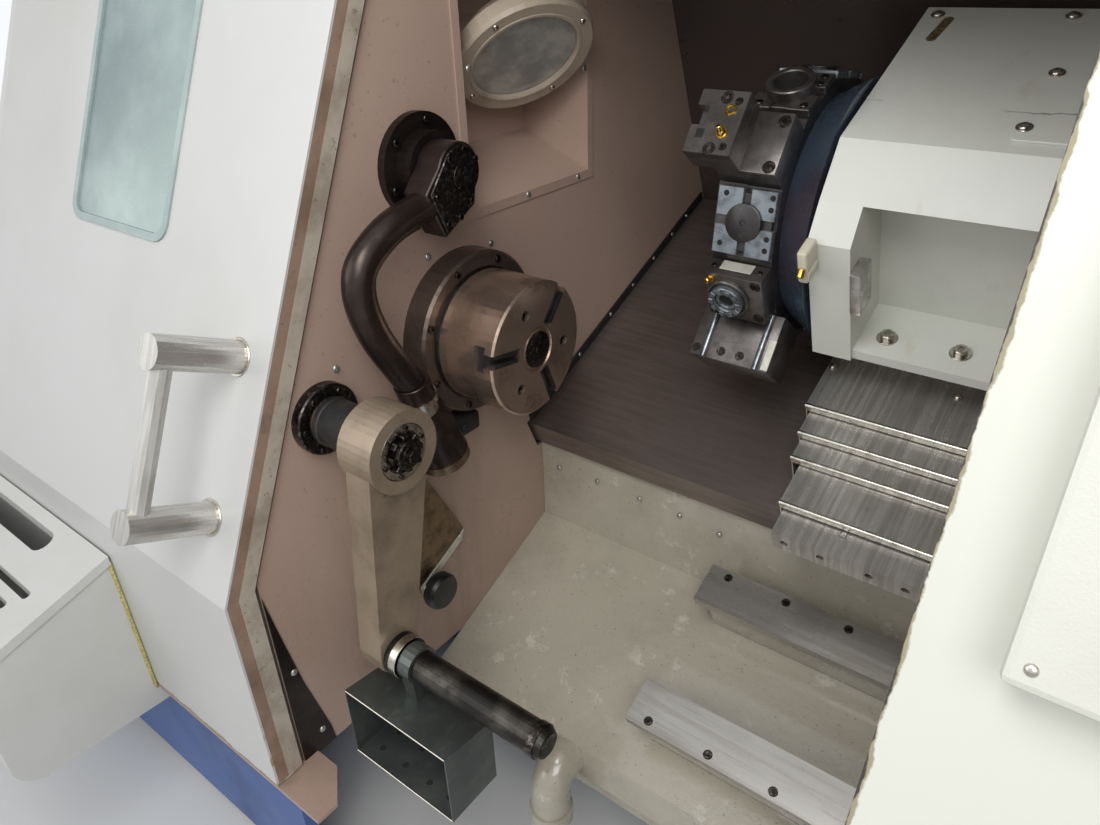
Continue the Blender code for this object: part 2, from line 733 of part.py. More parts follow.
for number, x in enumerate((0.385, 0.44, 0.51, 0.56)):
    hole = rod("end_hole_%d" % number, slope, None, (x, end_block_front - 0.01, -0.265),
               (x, end_block_front + 0.008, -0.265), 0.006, 12)
    cut(saddle, hole)


def way_cover(name, x):
    """A flat sheet over the Z ways with a lip turned down at its front."""
    line = [(way_cover_front, way_cover_top - way_cover_lip), (way_cover_front, way_cover_top),
            (way_cover_back, way_cover_top)]
    return folded(name, slope, "steel", line, x, wall=0.002, side=1)


travel_left = 0.16
travel_right = 0.14
way_cover("left_way_cover", (wall_x - travel_right - 0.007, saddle_left - seat))
way_cover("right_way_cover", (saddle_right + seat, end_wall_x + travel_left + 0.005))


# Cross slide with its telescopic covers

slide = block("cross_slide", slope, "iron", (slide_left, slide_right), (slide_front, slide_back),
              (slide_bottom, slide_top))
for number, x in enumerate(x_rails):
    join(slide, block("slide_truck_%d" % number, slope, None, (x - 0.018, x + 0.018), (0.38, 0.64),
                      (x_rail_top + seat, slide_bottom + 0.01)))
join(slide, block("x_nut", slope, None, (x_screw_x - 0.024, x_screw_x + 0.024), (0.42, 0.48),
                  (saddle_top + 0.0005, slide_bottom + 0.01)))
cut(slide, rod("x_nut_bore", slope, None, (x_screw_x, 0.40, x_screw_n), (x_screw_x, 0.50, x_screw_n),
               x_screw_radius + seat, 24))


def x_cover(number, left, front, length, finish="steel", drop=-0.0005):
    """One telescopic cover: a sheet bent down over both sides of the X ways."""
    top = way_cover_top + cover_one_height - cover_step * (number - 1)
    right = x_cover_right - (left - 0.334)
    low = way_cover_top - drop
    line = [(left, low), (left, top), (right, top), (right, low)]
    name = "x_cover_%d" % number
    return folded(name, slope, finish, line, (front, front + length), wall=0.002, side=-1, along="Y")


x_cover(1, 0.334, 0.185, slide_front - 0.185 - seat)
x_cover(2, 0.341, 0.140, 0.10)
x_cover(3, 0.346, 0.100, 0.10)
join(saddle, x_cover(4, 0.360, end_block_back + seat, 0.10, finish=None, drop=0.002))


# Turret housing

pocket_left = 0.388
leg_outline = [
    (0.228, slide_top + seat), (0.228, 0.093), (0.271, 0.1286), (0.343, housing_top),
    (slide_back, housing_top), (slide_back, slide_top + seat),
]
housing = prism("turret_housing", slope, "door white", leg_outline, (housing_left, pocket_left))
body_outline = [
    (0.234, slide_top + seat), (0.234, -0.101), (0.338, -0.101), (0.338, 0.1286), (0.271, 0.1286),
    (0.343, housing_top), (slide_back, housing_top), (slide_back, slide_top + seat),
]
join(housing, prism("housing_body", slope, None, body_outline, (pocket_left - 0.01, slide_right)))
shaft_end = 0.64
cut(housing, rod("turret_bore", slope, None, (housing_left - 0.03, turret_s, 0),
                 (shaft_end + 0.02, turret_s, 0), turret_shaft + seat, 40))


# Turret: twelve flats, blued disc and tool holders

turret = frame("turret", slope, at=(0, turret_s, 0))
corner = turret_inradius / cos(pi / stations)
head_points = [(corner * cos(2 * pi * (i + 0.5) / stations), corner * sin(2 * pi * (i + 0.5) / stations))
               for i in range(stations)]
head = prism("turret_head", turret, "dark steel", head_points, (turret_left, turret_right))
join(head, rod("head_cap", turret, None, (turret_left - 0.008, 0, 0), (turret_left + 0.01, 0, 0), 0.10, 40))
turned("turret_disc", turret, "blued", [
    (0, shaft_end), (turret_shaft, shaft_end), (turret_shaft, disc_right), (disc_large, disc_right),
    (disc_small, turret_right + seat), (0, turret_right + seat)], steps=64)


def station(number):
    """The frame of a station: its -Y points out of the flat, station 0 faces the spindle."""
    return frame("station_%d" % number, turret, turn=(-2 * pi * number / stations, 0, 0))


flat = turret_inradius
for number in range(stations):
    if number in (0, 2, 3, 11):
        continue
    empty_place = station(number)
    join(head, block("plug_plate_%d" % number, empty_place, None, (0.192, 0.274),
                     (-flat - 0.008, -flat + 0.004), (-0.040, 0.040)))
    join(head, rod("plug_%d" % number, empty_place, None, (0.233, -flat, 0), (0.233, -flat - 0.014, 0),
                   0.024, 16))


def holder_block(name, parent, finish, x, out, across):
    """A block on a station, its height measured out from the turret's flat."""
    return block(name, parent, finish, x, (-flat - out[1], -flat - out[0]), across)


def holder_bore(name, parent, x, out, radius, sides=20):
    """A cutter for a bore straight into a station's block."""
    return rod(name, parent, None, (x, -flat - out[0], 0), (x, -flat - out[1], 0), radius, sides)


boring = station(0)
holder = holder_block("boring_holder", boring, "dark steel", (0.196, 0.272), (seat, 0.075), (-0.044, 0.044))
round_edges(holder, 0.003, 1)
join(holder, holder_bore("boring_nut", boring, 0.234, (0.070, 0.090), 0.026, 16))
cut(holder, holder_bore("boring_bore", boring, 0.234, (0.030, 0.120), 0.016, 16))

turning = station(2)
holder = holder_block("turning_holder", turning, "dark steel", (0.215, 0.275), (seat, 0.048), (-0.045, 0.050))
join(holder, holder_block("turning_head", turning, None, (0.162, 0.240), (0.045, 0.097), (-0.060, 0.045)))
cut(holder, holder_block("tool_seat", turning, None, (0.140, 0.180), (0.070, 0.110), (-0.013, 0.020)),
    holder_block("wedge_seat", turning, None, (0.158, 0.168), (0.075, 0.110), (-0.036, -0.023)))

drill = station(3)
holder = holder_block("drill_holder", drill, "dark steel", (0.190, 0.276), (seat, 0.040), (-0.045, 0.045))
round_edges(holder, 0.003, 1)
cut(holder, holder_bore("drill_bore", drill, 0.233, (0.012, 0.050), 0.022))

grooving = station(11)
holder = holder_block("grooving_holder", grooving, "dark steel", (0.180, 0.276), (seat, 0.055),
                      (-0.048, 0.048))
for number, x in enumerate((0.205, 0.250)):
    cut(holder, holder_block("tee_groove_%d" % number, grooving, None, (x - 0.005, x + 0.005),
                             (0.045, 0.070), (-0.060, 0.060)))


# Feed screws and the Z drive

z_screw = frame("z_screw_axis", slope, at=(0, z_screw_s, z_screw_n))
motor_face = -0.48
motor_length = 0.26
motor_half = 0.07
rod("z_screw", z_screw, "steel", (motor_face + seat, 0, 0), (screw_block_x + 0.03, 0, 0), z_screw_radius, 24)
z_motor = block("z_motor", slope, "black", (motor_face - motor_length, motor_face),
                (z_screw_s - motor_half, z_screw_s + motor_half), (bed_top + seat, z_screw_n + 0.06))
round_edges(z_motor, 0.010)
x_screw = frame("x_screw_axis", slope, at=(x_screw_x, 0, x_screw_n))
rod("x_screw", x_screw, "steel", (0, end_block_back - 0.0115, 0), (0, 0.62, 0), x_screw_radius, 24)


# Sliding door

door = frame("door", machine)
door_outline = [
    (front_y, door_bottom), (front_y, fold_z), (front_line(0, door_top), door_top),
    (front_line(door_depth, door_top), door_top), (front_y + door_depth, fold_z),
    (front_y + door_depth, door_bottom),
]
door_panel = prism("door_panel", door, "door white", door_outline, (door_left, door_right))
door_skin = 0.002
hollow_top = door_top - 0.02
hollow_back = door_depth + 0.01
hollow = [
    (front_y + door_skin, door_bottom + 0.02), (front_y + door_skin, fold_z),
    (front_line(door_skin, hollow_top), hollow_top), (front_line(hollow_back, hollow_top), hollow_top),
    (front_y + hollow_back, fold_z), (front_y + hollow_back, door_bottom + 0.02),
]
cut(door_panel, prism("door_hollow", door, None, hollow, (door_left + 0.02, door_right - 0.002)))
leaning = frame("leaning", machine, at=(0, front_y, fold_z), turn=(-lean, 0, 0))
door_leaning = frame("door_leaning", door, at=(0, front_y, fold_z), turn=(-lean, 0, 0))
window_low = (window_bottom - fold_z) / cos(lean)
window_high = (window_top - fold_z) / cos(lean)
opening = rounded_rectangle((window_left, window_low), (window_right, window_high), 0.03)
cut(door_panel, prism("window_opening", door_leaning, None, opening, (-0.01, 0.01), "Y"))
gasket_width = 0.012
gasket_edge = rounded_rectangle((window_left + seat, window_low + seat),
                                (window_right - seat, window_high - seat), 0.03)
gasket = prism("window_gasket", door_leaning, "black", gasket_edge, (-0.003, 0.010), "Y")
inside = rounded_rectangle((window_left + gasket_width, window_low + gasket_width),
                           (window_right - gasket_width, window_high - gasket_width), 0.02)
cut(gasket, prism("gasket_inside", door_leaning, None, inside, (-0.02, 0.02), "Y"))
pane = rounded_rectangle((window_left + gasket_width + seat, window_low + gasket_width + seat),
                         (window_right - gasket_width - seat, window_high - gasket_width - seat), 0.02)
prism("door_window", door_leaning, "glass", pane, (0.001, 0.007), "Y")

handle_x = -0.211
handle_low = (-0.128 - fold_z) / cos(lean)
handle_pitch = 0.223
handle_reach = 0.122
bar_out = handle_reach - 0.02
bar_past = 0.015
bar_ends = (handle_low - bar_past, handle_low + handle_pitch + bar_past)
handle = tube("door_handle", door_leaning, "chrome", [(handle_x, -bar_out, z) for z in bar_ends], 0.014)
for number in range(2):
    z = handle_low + handle_pitch * number
    join(handle, rod("handle_post_%d" % number, door_leaning, None, (handle_x, -seat, z),
                     (handle_x, -handle_reach, z), 0.0225, 24))


# Control cabinet with its buttons

panel = block("control_cabinet", leaning, "grey", (panel_left, panel_right), (-panel_depth, -seat),
              (panel_low, panel_high))
round_edges(panel, 0.006)
face = -panel_depth
cut(panel, block("screen_recess", leaning, None, (panel_left + 0.08, panel_right - 0.05),
                 (face - 0.01, face + 0.004), (panel_high - 0.27, panel_high - 0.05)))
button_row = panel_low + 0.08
places = {
    "emergency_stop": (panel_left + 0.09, "red", 0.020),
    "cycle_start": (panel_left + 0.19, "green", 0.012),
    "feed_override": (panel_left + 0.29, "black", 0.018),
}
for name, (x, finish, radius) in places.items():
    centre = frame(name + "_axis", leaning, at=(x, face, button_row))
    cut(panel, rod(name + "_hole", centre, None, (0, -0.01, 0), (0, 0.014, 0), 0.0085, 16))
    turned(name, centre, finish, [
        (0, 0.028), (radius - 0.003, 0.028), (radius, 0.025), (radius, 0.014), (radius - 0.002, 0.008),
        (0.008, 0.008), (0.008, -0.008), (0, -0.008)], axis=(0, -1, 0), steps=24)


# Work lamp in its recess

recess_front = 0.043
recess_back = 0.349
recess_low = 0.18
recess_high = 0.53
recess_depth = 0.14
recess_rim = 0.015


def recess_corners(x, low, high):
    """Four corners in the plane of the wall, at one depth."""
    corners = (low, (high[0], low[1]), high, (low[0], high[1]))
    return [bm.verts.new((x, y, z)) for y, z in corners]


bm = bmesh.new()
rim_x = wall_x + 0.001 + seat
rim = recess_corners(rim_x, (recess_front - recess_rim, recess_low - recess_rim),
                     (recess_back + recess_rim, recess_high + recess_rim))
mouth = recess_corners(rim_x, (recess_front, recess_low), (recess_back, recess_high))
back = recess_corners(wall_x - recess_depth, (recess_front + 0.047, recess_low + 0.06),
                      (recess_back, recess_high))
for i in range(4):
    j = (i + 1) % 4
    bm.faces.new((rim[i], rim[j], mouth[j], mouth[i]))
    bm.faces.new((mouth[i], mouth[j], back[j], back[i]))
bm.faces.new(back)
recess = mesh_object("lamp_recess", bm, machine, "tan")
thick = recess.modifiers.new("sheet", "SOLIDIFY")
thick.thickness = 0.002
thick.offset = 0
cut(headstock_wall, block("recess_hole", machine, None, (wall_x - 0.02, wall_x + 0.01),
                          (recess_front - 0.005, recess_back + 0.005),
                          (recess_low - 0.005, recess_high + 0.005)))
lamp_axis = Vector((0.66, -0.29, -0.70)).normalized()
lamp_at = Vector((-0.17, 0.20, 0.39))
lens_radius = 0.0875
lamp = turned("work_lamp", machine, "cream", [
    (0, -0.004), (0.080, -0.004), (lens_radius + 0.0005, 0.003), (lens_radius + 0.0005, 0.012),
    (0.094, 0.018), (0.112, 0.018), (0.116, 0.012), (0.116, -0.008), (0.090, -0.034), (0.060, -0.050),
    (0, -0.050)], lamp_at, lamp_axis, 40)
join(lamp, rod("lamp_stem", machine, None, (-0.19, 0.215, 0.41),
               (wall_x - recess_depth + 0.001 + seat, 0.215, 0.41), 0.03, 20))
turned("lamp_lens", machine, "glass", [
    (0, 0.010), (lens_radius, 0.010), (lens_radius, 0.0035), (lens_radius - 0.008, 0.0035), (0, 0.0035)],
    lamp_at, lamp_axis, 32)


# Tool setter: flange on the wall and the swinging arm

setter_base = rod("setter_base", machine, "dark steel", (wall_x + seat, setter_y, setter_z),
                  (wall_x + 0.013, setter_y, setter_z), setter_flange, 40)
join(setter_base, rod("setter_hub", machine, None, (wall_x + 0.01, setter_y, setter_z),
                      (wall_x + 0.038, setter_y, setter_z), 0.050, 32))
setter = frame("tool_setter", machine, at=(0, setter_y, setter_z))
setter_plane = -0.0915
knuckle_face = -0.072
knuckle = arc((0, 0), 0.040, -45, 160, 10) + [(-0.066, -0.018), (-0.036, -0.082), (0.026, -0.049)]
setter_arm = prism("setter_arm", setter, "dark steel", knuckle, (wall_x + 0.0385, knuckle_face))
arm_route = [(-0.040, -0.034), (-0.077, -0.041), (-0.116, -0.050), (-0.151, -0.068), (-0.173, -0.088),
             (-0.181, -0.112), (-0.179, -0.143), (-0.164, -0.189), (-0.133, -0.246), (-0.106, -0.290)]
route = [(setter_plane, y, z) for y, z in flowing(arm_route, 2)]
join(setter_arm, tube("setter_tube", setter, None, route, setter_tube, 4))
neck = Vector((setter_plane, -0.106, -0.300))
tip = Vector((setter_plane, -0.062, -0.440))
down = (tip - neck).normalized()
bell_radius = 0.040
join(setter_arm, turned("setter_bell", setter, None, [
    (0, 0.028), (0.027, 0.028), (0.027, -0.002), (0.021, -0.010), (0.021, -0.030),
    (bell_radius - 0.006, -0.055), (bell_radius, -0.080), (bell_radius, -0.128),
    (bell_radius - 0.005, -0.133), (0, -0.133)], neck, -down, 24))


# Parts catcher: swinging arm, rod and tilting bucket

catcher = frame("parts_catcher", machine, at=(0, catcher_y, catcher_z))
drop = Vector((catcher_rod_y - catcher_y, catcher_rod_z - catcher_z))
side = Vector((-drop.y, drop.x)).normalized()
along = drop.normalized()


def arm_point(distance, half):
    return tuple(along * distance + side * half)


arm_outline = [arm_point(0, 0.052), arm_point(drop.length, 0.034)]
arm_outline += [arm_point(drop.length + 0.034 * sin(a), 0.034 * cos(a)) for a in (0.6, 1.2, 1.94, 2.54)]
arm_outline += [arm_point(drop.length, -0.034), arm_point(0, -0.052)]
catcher_arm = prism("catcher_arm", catcher, "iron", arm_outline, (-0.045, 0.0))
join(catcher_arm, rod("catcher_head", catcher, None, (-0.052, 0, 0), (0.010, 0, 0), 0.058, 40))
join(catcher_arm, rod("catcher_shaft", catcher, None, (wall_x + seat, 0, 0), (-0.04, 0, 0), 0.030, 24))
cut(catcher_arm, rod("catcher_recess", catcher, None, (0.001, 0, 0), (0.02, 0, 0), 0.040, 32))
catcher_tip = frame("catcher_tip", catcher, at=(0, drop.x, drop.y))
catcher_rod = turned("catcher_rod", catcher_tip, "steel", [
    (0, 0.27), (catcher_rod_radius - 0.004, 0.27), (catcher_rod_radius, 0.264), (catcher_rod_radius, 0.022),
    (0.031, 0.022), (0.031, seat), (0, seat)], steps=32)

bucket_tilt = frame("bucket_tilt", catcher, at=(0, drop.x, drop.y))
bucket_left = -0.05
bucket_right = 0.15
bucket_outline = [(-0.069, -0.180), (-0.069, -0.050), (0.023, -0.063), (0.023, -0.180)]
bucket = shell("bucket", bucket_tilt, "dark steel", bucket_outline, (bucket_left, bucket_right),
               ((0, -1, 0),), 0.002)
hanger = arc((0, 0), catcher_rod_radius + 0.005, -40, 220, 14) + [(-0.0180, -0.0585), (0.0215, -0.0640)]
hanger_span = (0.024, 0.046)
join(bucket, prism("bucket_hanger", bucket_tilt, None, hanger, hanger_span))
cut(bucket, rod("bucket_eye", bucket_tilt, None, (hanger_span[0] - 0.01, 0, 0), (hanger_span[1] + 0.01, 0, 0),
                catcher_rod_radius + seat, 32))
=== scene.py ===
from math import cos, pi, radians, sin

import bmesh
import bpy
from mathutils import Matrix, Vector


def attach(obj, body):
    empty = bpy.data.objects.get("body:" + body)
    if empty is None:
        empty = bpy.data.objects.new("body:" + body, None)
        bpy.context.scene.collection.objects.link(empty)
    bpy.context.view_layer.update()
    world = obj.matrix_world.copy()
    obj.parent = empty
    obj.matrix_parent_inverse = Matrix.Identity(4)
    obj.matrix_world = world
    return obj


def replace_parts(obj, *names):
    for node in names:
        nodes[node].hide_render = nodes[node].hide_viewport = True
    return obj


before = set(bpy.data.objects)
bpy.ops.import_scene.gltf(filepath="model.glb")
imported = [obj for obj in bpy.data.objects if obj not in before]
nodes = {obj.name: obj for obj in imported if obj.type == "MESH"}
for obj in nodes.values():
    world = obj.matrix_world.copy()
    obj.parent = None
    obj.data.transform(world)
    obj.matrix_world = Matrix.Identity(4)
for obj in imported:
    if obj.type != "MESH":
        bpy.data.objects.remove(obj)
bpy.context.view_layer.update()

# Frames of the real machine: chuck face, sloping bed, turret and leaning front
slant = radians(23.5)
lean = radians(25)
turretUp = 0.41
machineFrame = Matrix.Translation((-0.05, -0.18, 1.0))
slopeFrame = machineFrame @ Matrix.Rotation(slant, 4, "X")
turretFrame = slopeFrame @ Matrix.Translation((0, turretUp, 0))
leaningFrame = machineFrame @ Matrix.Translation((0, -0.50, -0.226)) @ Matrix.Rotation(-lean, 4, "X")
wallX = -0.153


def stationFrame(number):
    return turretFrame @ Matrix.Rotation(-radians(30 * number), 4, "X")


def display(red, green, blue):
    # a colour as the eye reads it on a screen, turned into light
    light = [c / 12.92 if c <= 0.04045 else ((c + 0.055) / 1.055) ** 2.4 for c in (red, green, blue)]
    return (*light, 1.0)


# ---- shader maths ----

class Wire:
    def __init__(self, finish, socket):
        self.finish = finish
        self.socket = socket

    def maths(self, operation, other=0.0, swapped=False):
        pair = (other, self) if swapped else (self, other)
        return self.finish.node("ShaderNodeMath", {"operation": operation}, {0: pair[0], 1: pair[1]})

    def __add__(self, other):
        return self.maths("ADD", other)

    __radd__ = __add__

    def __sub__(self, other):
        return self.maths("SUBTRACT", other)

    def __rsub__(self, other):
        return self.maths("SUBTRACT", other, swapped=True)

    def __mul__(self, other):
        return self.maths("MULTIPLY", other)

    __rmul__ = __mul__

    def __gt__(self, other):
        return self.maths("GREATER_THAN", other)

    def __lt__(self, other):
        return self.maths("LESS_THAN", other)


class Finish:
    def __init__(self, name, rough=0.4, metal=0.0, coat=0.0):
        self.material = bpy.data.materials.new(name)
        self.material.use_nodes = True
        self.tree = self.material.node_tree
        self.shader = self.tree.nodes["Principled BSDF"]
        self.shader.inputs["Roughness"].default_value = rough
        self.shader.inputs["Metallic"].default_value = metal
        self.shader.inputs["Coat Weight"].default_value = coat
        self.place = self.node("ShaderNodeTexCoord", {}, {}, "Object")

    def node(self, kind, settings, inputs, output=0):
        made = self.tree.nodes.new(kind)
        for key, value in settings.items():
            if key == "stops":
                ramp = made.color_ramp
                while len(ramp.elements) < len(value):
                    ramp.elements.new(0.5)
                for stop, (at, colour) in zip(ramp.elements, value):
                    stop.position = at
                    stop.color = colour
            else:
                setattr(made, key, value)
        for key, value in inputs.items():
            if isinstance(value, Wire):
                self.tree.links.new(value.socket, made.inputs[key])
            else:
                made.inputs[key].default_value = value
        return Wire(self, made.outputs[output])

    def axis(self, letter):
        return self.node("ShaderNodeSeparateXYZ", {}, {0: self.place}, letter)

    def turnedPlace(self, stretch=(1, 1, 1), turn=(0, 0, 0), shift=(0, 0, 0)):
        return self.node("ShaderNodeMapping", {}, {"Vector": self.place, "Location": shift,
                                                   "Rotation": turn, "Scale": stretch})

    def noise(self, scale, detail=3.0, rough=0.5, stretch=None, turn=(0, 0, 0)):
        place = self.turnedPlace(stretch, turn) if stretch else self.place
        return self.node("ShaderNodeTexNoise", {}, {"Vector": place, "Scale": scale, "Detail": detail,
                                                    "Roughness": rough})

    def band(self, value, low, high, start=0.0, end=1.0):
        return self.node("ShaderNodeMapRange", {"interpolation_type": "SMOOTHSTEP"},
                         {0: value, 1: low, 2: high, 3: start, 4: end})

    def mix(self, factor, first, second):
        # plain colours are written as the eye reads them
        first, second = (c if isinstance(c, Wire) else display(*c) for c in (first, second))
        return self.node("ShaderNodeMix", {"data_type": "RGBA"}, {0: factor, 6: first, 7: second}, 2)

    def line(self, letter, at, width):
        away = self.axis(letter) - at
        return self.band(away * away, (width * 0.4) ** 2, width ** 2, 1.0, 0.0)

    def within(self, letter, low, high):
        return (self.axis(letter) > low) * (self.axis(letter) < high)

    def endSeam(self):
        # hairline joint of the service panel on both ends of the machine
        y, z = (-0.42, 0.52), (0.46, 1.46)
        upright = (self.line("Y", y[0], 0.0016) + self.line("Y", y[1], 0.0016)) * self.within("Z", *z)
        level = (self.line("Z", z[0], 0.0016) + self.line("Z", z[1], 0.0016)) * self.within("Y", *y)
        return (upright + level) * (self.axis("X") * self.axis("X") > 1.436)

    def radius(self, centre):
        # distance from an axis along X through a point
        away = self.node("ShaderNodeVectorMath", {"operation": "MULTIPLY"},
                         {0: self.turnedPlace(shift=(0, -centre[0], -centre[1])), 1: (0, 1, 1)})
        return self.node("ShaderNodeVectorMath", {"operation": "LENGTH"}, {0: away}, "Value")

    def bump(self, height, strength, distance=0.001):
        bumped = self.node("ShaderNodeBump", {}, {"Strength": strength, "Distance": distance,
                                                  "Height": height}, "Normal")
        self.wear(Normal=bumped)

    def wear(self, **surface):
        for name, value in surface.items():
            socket = self.shader.inputs[name.replace("_", " ")]
            if isinstance(value, Wire):
                self.tree.links.new(value.socket, socket)
            else:
                socket.default_value = value


# ---- finishes ----

seamTone = (0.26, 0.25, 0.24)
alongBed = (-slant, 0, 0)


def paintFinish(name, colour, dirt, rough=0.35, amount=0.35, peel=0.05, size=2.2):
    # machine enamel: faint orange peel, cloudy oil smears and fine dust
    made = Finish(name, rough)
    smear = made.band(made.noise(size, 6.0, 0.62), 0.46, 0.78) * amount
    specks = made.band(made.noise(140.0, 2.0), 0.66, 0.74) * 0.25 * amount
    made.wear(Base_Color=made.mix(smear + specks, colour, dirt),
              Roughness=made.noise(9.0, 4.0) * 0.22 + (rough - 0.11) + smear * 0.15)
    made.bump(made.noise(420.0, 2.0), peel)
    return made.material


def coverEnamel():
    made = Finish("coverEnamel", 0.36)
    seam = made.endSeam()
    smear = made.band(made.noise(2.2, 6.0, 0.62), 0.46, 0.78) * 0.3
    enamel = made.mix(smear, (0.80, 0.80, 0.785), (0.66, 0.64, 0.60))
    made.wear(Base_Color=made.mix(seam * 0.8, enamel, seamTone),
              Roughness=made.noise(9.0, 4.0) * 0.22 + 0.25 + smear * 0.15)
    made.bump(made.noise(420.0, 2.0) * 0.1 - seam, 0.4, 0.0006)
    return made.material


def jambEnamel():
    # white enamel knocked off along the door opening's edge
    openingEdge = 0.587
    made = Finish("jambEnamel", 0.38)
    across = made.axis("X") - openingEdge
    ragged = made.noise(26.0, 5.0, 0.6) * 0.016 - 0.0048
    chipped = made.band(ragged - across, -0.001, 0.001)
    deep = made.band(made.noise(48.0, 3.0) * 0.010 - 0.0042 - across, -0.0006, 0.0006)
    smear = made.band(made.noise(2.0, 6.0, 0.6), 0.45, 0.80) * 0.35
    enamel = made.mix(smear, (0.84, 0.84, 0.80), (0.72, 0.71, 0.64))
    worn = made.mix(deep, (0.60, 0.57, 0.47), (0.22, 0.20, 0.18))
    seam = made.endSeam()
    made.wear(Base_Color=made.mix(seam * 0.8, made.mix(chipped, enamel, worn), seamTone),
              Roughness=0.34 + chipped * 0.3 + smear * 0.2)
    made.bump(made.noise(300.0, 2.0) * 0.1 - chipped - seam, 0.5, 0.0006)
    return made.material


def doorEnamel():
    # the door's skin, rubbed bare and chipped low down by its leading edge
    leadingEdge, doorFoot = -0.196, 0.41
    made = Finish("doorEnamel", 0.36)
    edge = made.axis("X") - leadingEdge
    ragged = made.noise(40.0, 5.0, 0.62) * 0.012 - 0.0068
    low = made.band(made.axis("Z"), 0.62, 0.45)
    chipped = made.band(edge + ragged, -0.0005, 0.0008) * low
    foot = made.band(made.noise(30.0, 4.0) * 0.03 - 0.011 - (made.axis("Z") - doorFoot), -0.001, 0.001)
    smear = made.band(made.noise(1.7, 6.0, 0.6), 0.45, 0.82) * 0.4
    enamel = made.mix(smear, (0.78, 0.78, 0.77), (0.68, 0.66, 0.62))
    made.wear(Base_Color=made.mix(chipped + foot, enamel, (0.62, 0.58, 0.48)),
              Roughness=made.noise(7.0, 4.0) * 0.2 + 0.27 + chipped * 0.3)
    made.bump(made.noise(420.0, 2.0) * 0.12 - chipped - foot, 0.35, 0.0005)
    return made.material


def creamPan():
    # wet enamel: coolant film, pale scum and fine chips
    made = Finish("creamPan", 0.25, 0.0, 0.5)
    stain = made.band(made.noise(3.5, 7.0, 0.65), 0.42, 0.72)
    scum = made.band(made.noise(22.0, 6.0, 0.7), 0.55, 0.66) * made.band(made.noise(5.0, 3.0), 0.48, 0.60)
    chips = made.band(made.noise(230.0, 2.0), 0.68, 0.72)
    colour = made.mix(stain * 0.55, (0.72, 0.695, 0.63), (0.56, 0.525, 0.46))
    colour = made.mix(scum * 0.6, colour, (0.84, 0.83, 0.78))
    made.wear(Base_Color=made.mix(chips * 0.5, colour, (0.3, 0.28, 0.24)),
              Roughness=made.noise(14.0, 4.0) * 0.35 + 0.06 + scum * 0.25, Coat_Weight=0.7)
    made.bump(made.noise(24.0, 5.0, 0.6) + chips * 0.4, 0.35, 0.004)
    return made.material


def tanWall():
    made = Finish("tanWall", 0.34)
    smear = made.band(made.noise(2.6, 6.0, 0.6), 0.42, 0.75)
    # painted shade: the wall darkens low down, and vertical runs streak the darkening further
    low = made.band(made.axis("Z"), 0.95, 0.50)
    runs = made.band(made.noise(18.0, 4.0, 0.6, (1, 1, 0.10)), 0.5, 0.72)
    colour = made.mix(smear * 0.35, (0.70, 0.60, 0.545), (0.76, 0.67, 0.61))
    colour = made.mix(low * (0.35 + runs * 0.35), colour, (0.54, 0.455, 0.40))
    specks = made.band(made.noise(170.0, 2.0), 0.69, 0.73)
    made.wear(Base_Color=made.mix(specks * 0.4, colour, (0.36, 0.30, 0.26)),
              Roughness=made.noise(8.0, 4.0) * 0.25 + 0.22 - low * 0.06)
    made.bump(made.noise(380.0, 2.0), 0.05)
    return made.material


def housingEnamel():
    # off-white enamel with a hairline along its fold and faint yellowed drips
    foldHeight = 1.3335
    made = Finish("housingEnamel", 0.36)
    wander = (made.noise(24.0, 4.0, 0.6) - 0.5) * 0.010
    away = made.axis("Z") + wander - foldHeight
    hair = made.band(away * away, 0.0, 0.0000006, 1.0, 0.0) * made.band(made.noise(9.0, 3.0), 0.44, 0.56)
    drip = made.band(made.noise(14.0, 5.0, 0.6, (1.0, 0.5, 0.5)), 0.62, 0.72)
    smear = made.band(made.noise(6.0, 6.0, 0.65), 0.50, 0.85)
    colour = made.mix(drip * 0.30, (0.86, 0.865, 0.83), (0.75, 0.69, 0.54))
    colour = made.mix(smear * 0.30, colour, (0.66, 0.64, 0.60))
    made.wear(Base_Color=made.mix(hair * 0.7, colour, (0.46, 0.42, 0.36)),
              Roughness=made.noise(11.0, 4.0) * 0.25 + 0.25)
    made.bump(made.noise(260.0, 3.0) * 0.25 - hair, 0.25, 0.0008)
    return made.material


def machinedCasting():
    made = Finish("machinedCasting", 0.42, 0.5)
    cloud = made.band(made.noise(9.0, 6.0, 0.65), 0.40, 0.70)
    grain = made.noise(260.0, 3.0)
    made.wear(Base_Color=made.mix(cloud * 0.6, (0.62, 0.59, 0.54), (0.42, 0.39, 0.35)),
              Roughness=grain * 0.25 + 0.28 + cloud * 0.1)
    made.bump(grain, 0.22, 0.0006)
    return made.material


def streakedSteel(name, colour, dark, stretch, turn=(0, 0, 0), rough=0.26, stain=0.35, scale=60.0):
    # ground or brushed steel: fine lines one way, brown oil stains over them
    made = Finish(name, rough, 0.72)
    lines = made.noise(scale, 4.0, 0.6, stretch, turn)
    film = made.band(made.noise(5.0, 5.0, 0.6), 0.42, 0.74)
    spots = made.band(made.noise(60.0, 3.0), 0.66, 0.72) * 0.4
    tone = made.band(lines, 0.35, 0.65) * 0.45 + film * stain + spots * stain
    made.wear(Base_Color=made.mix(tone, colour, dark), Roughness=lines * 0.22 + (rough - 0.10) + film * 0.12)
    made.bump(lines, 0.10, 0.0004)
    return made.material


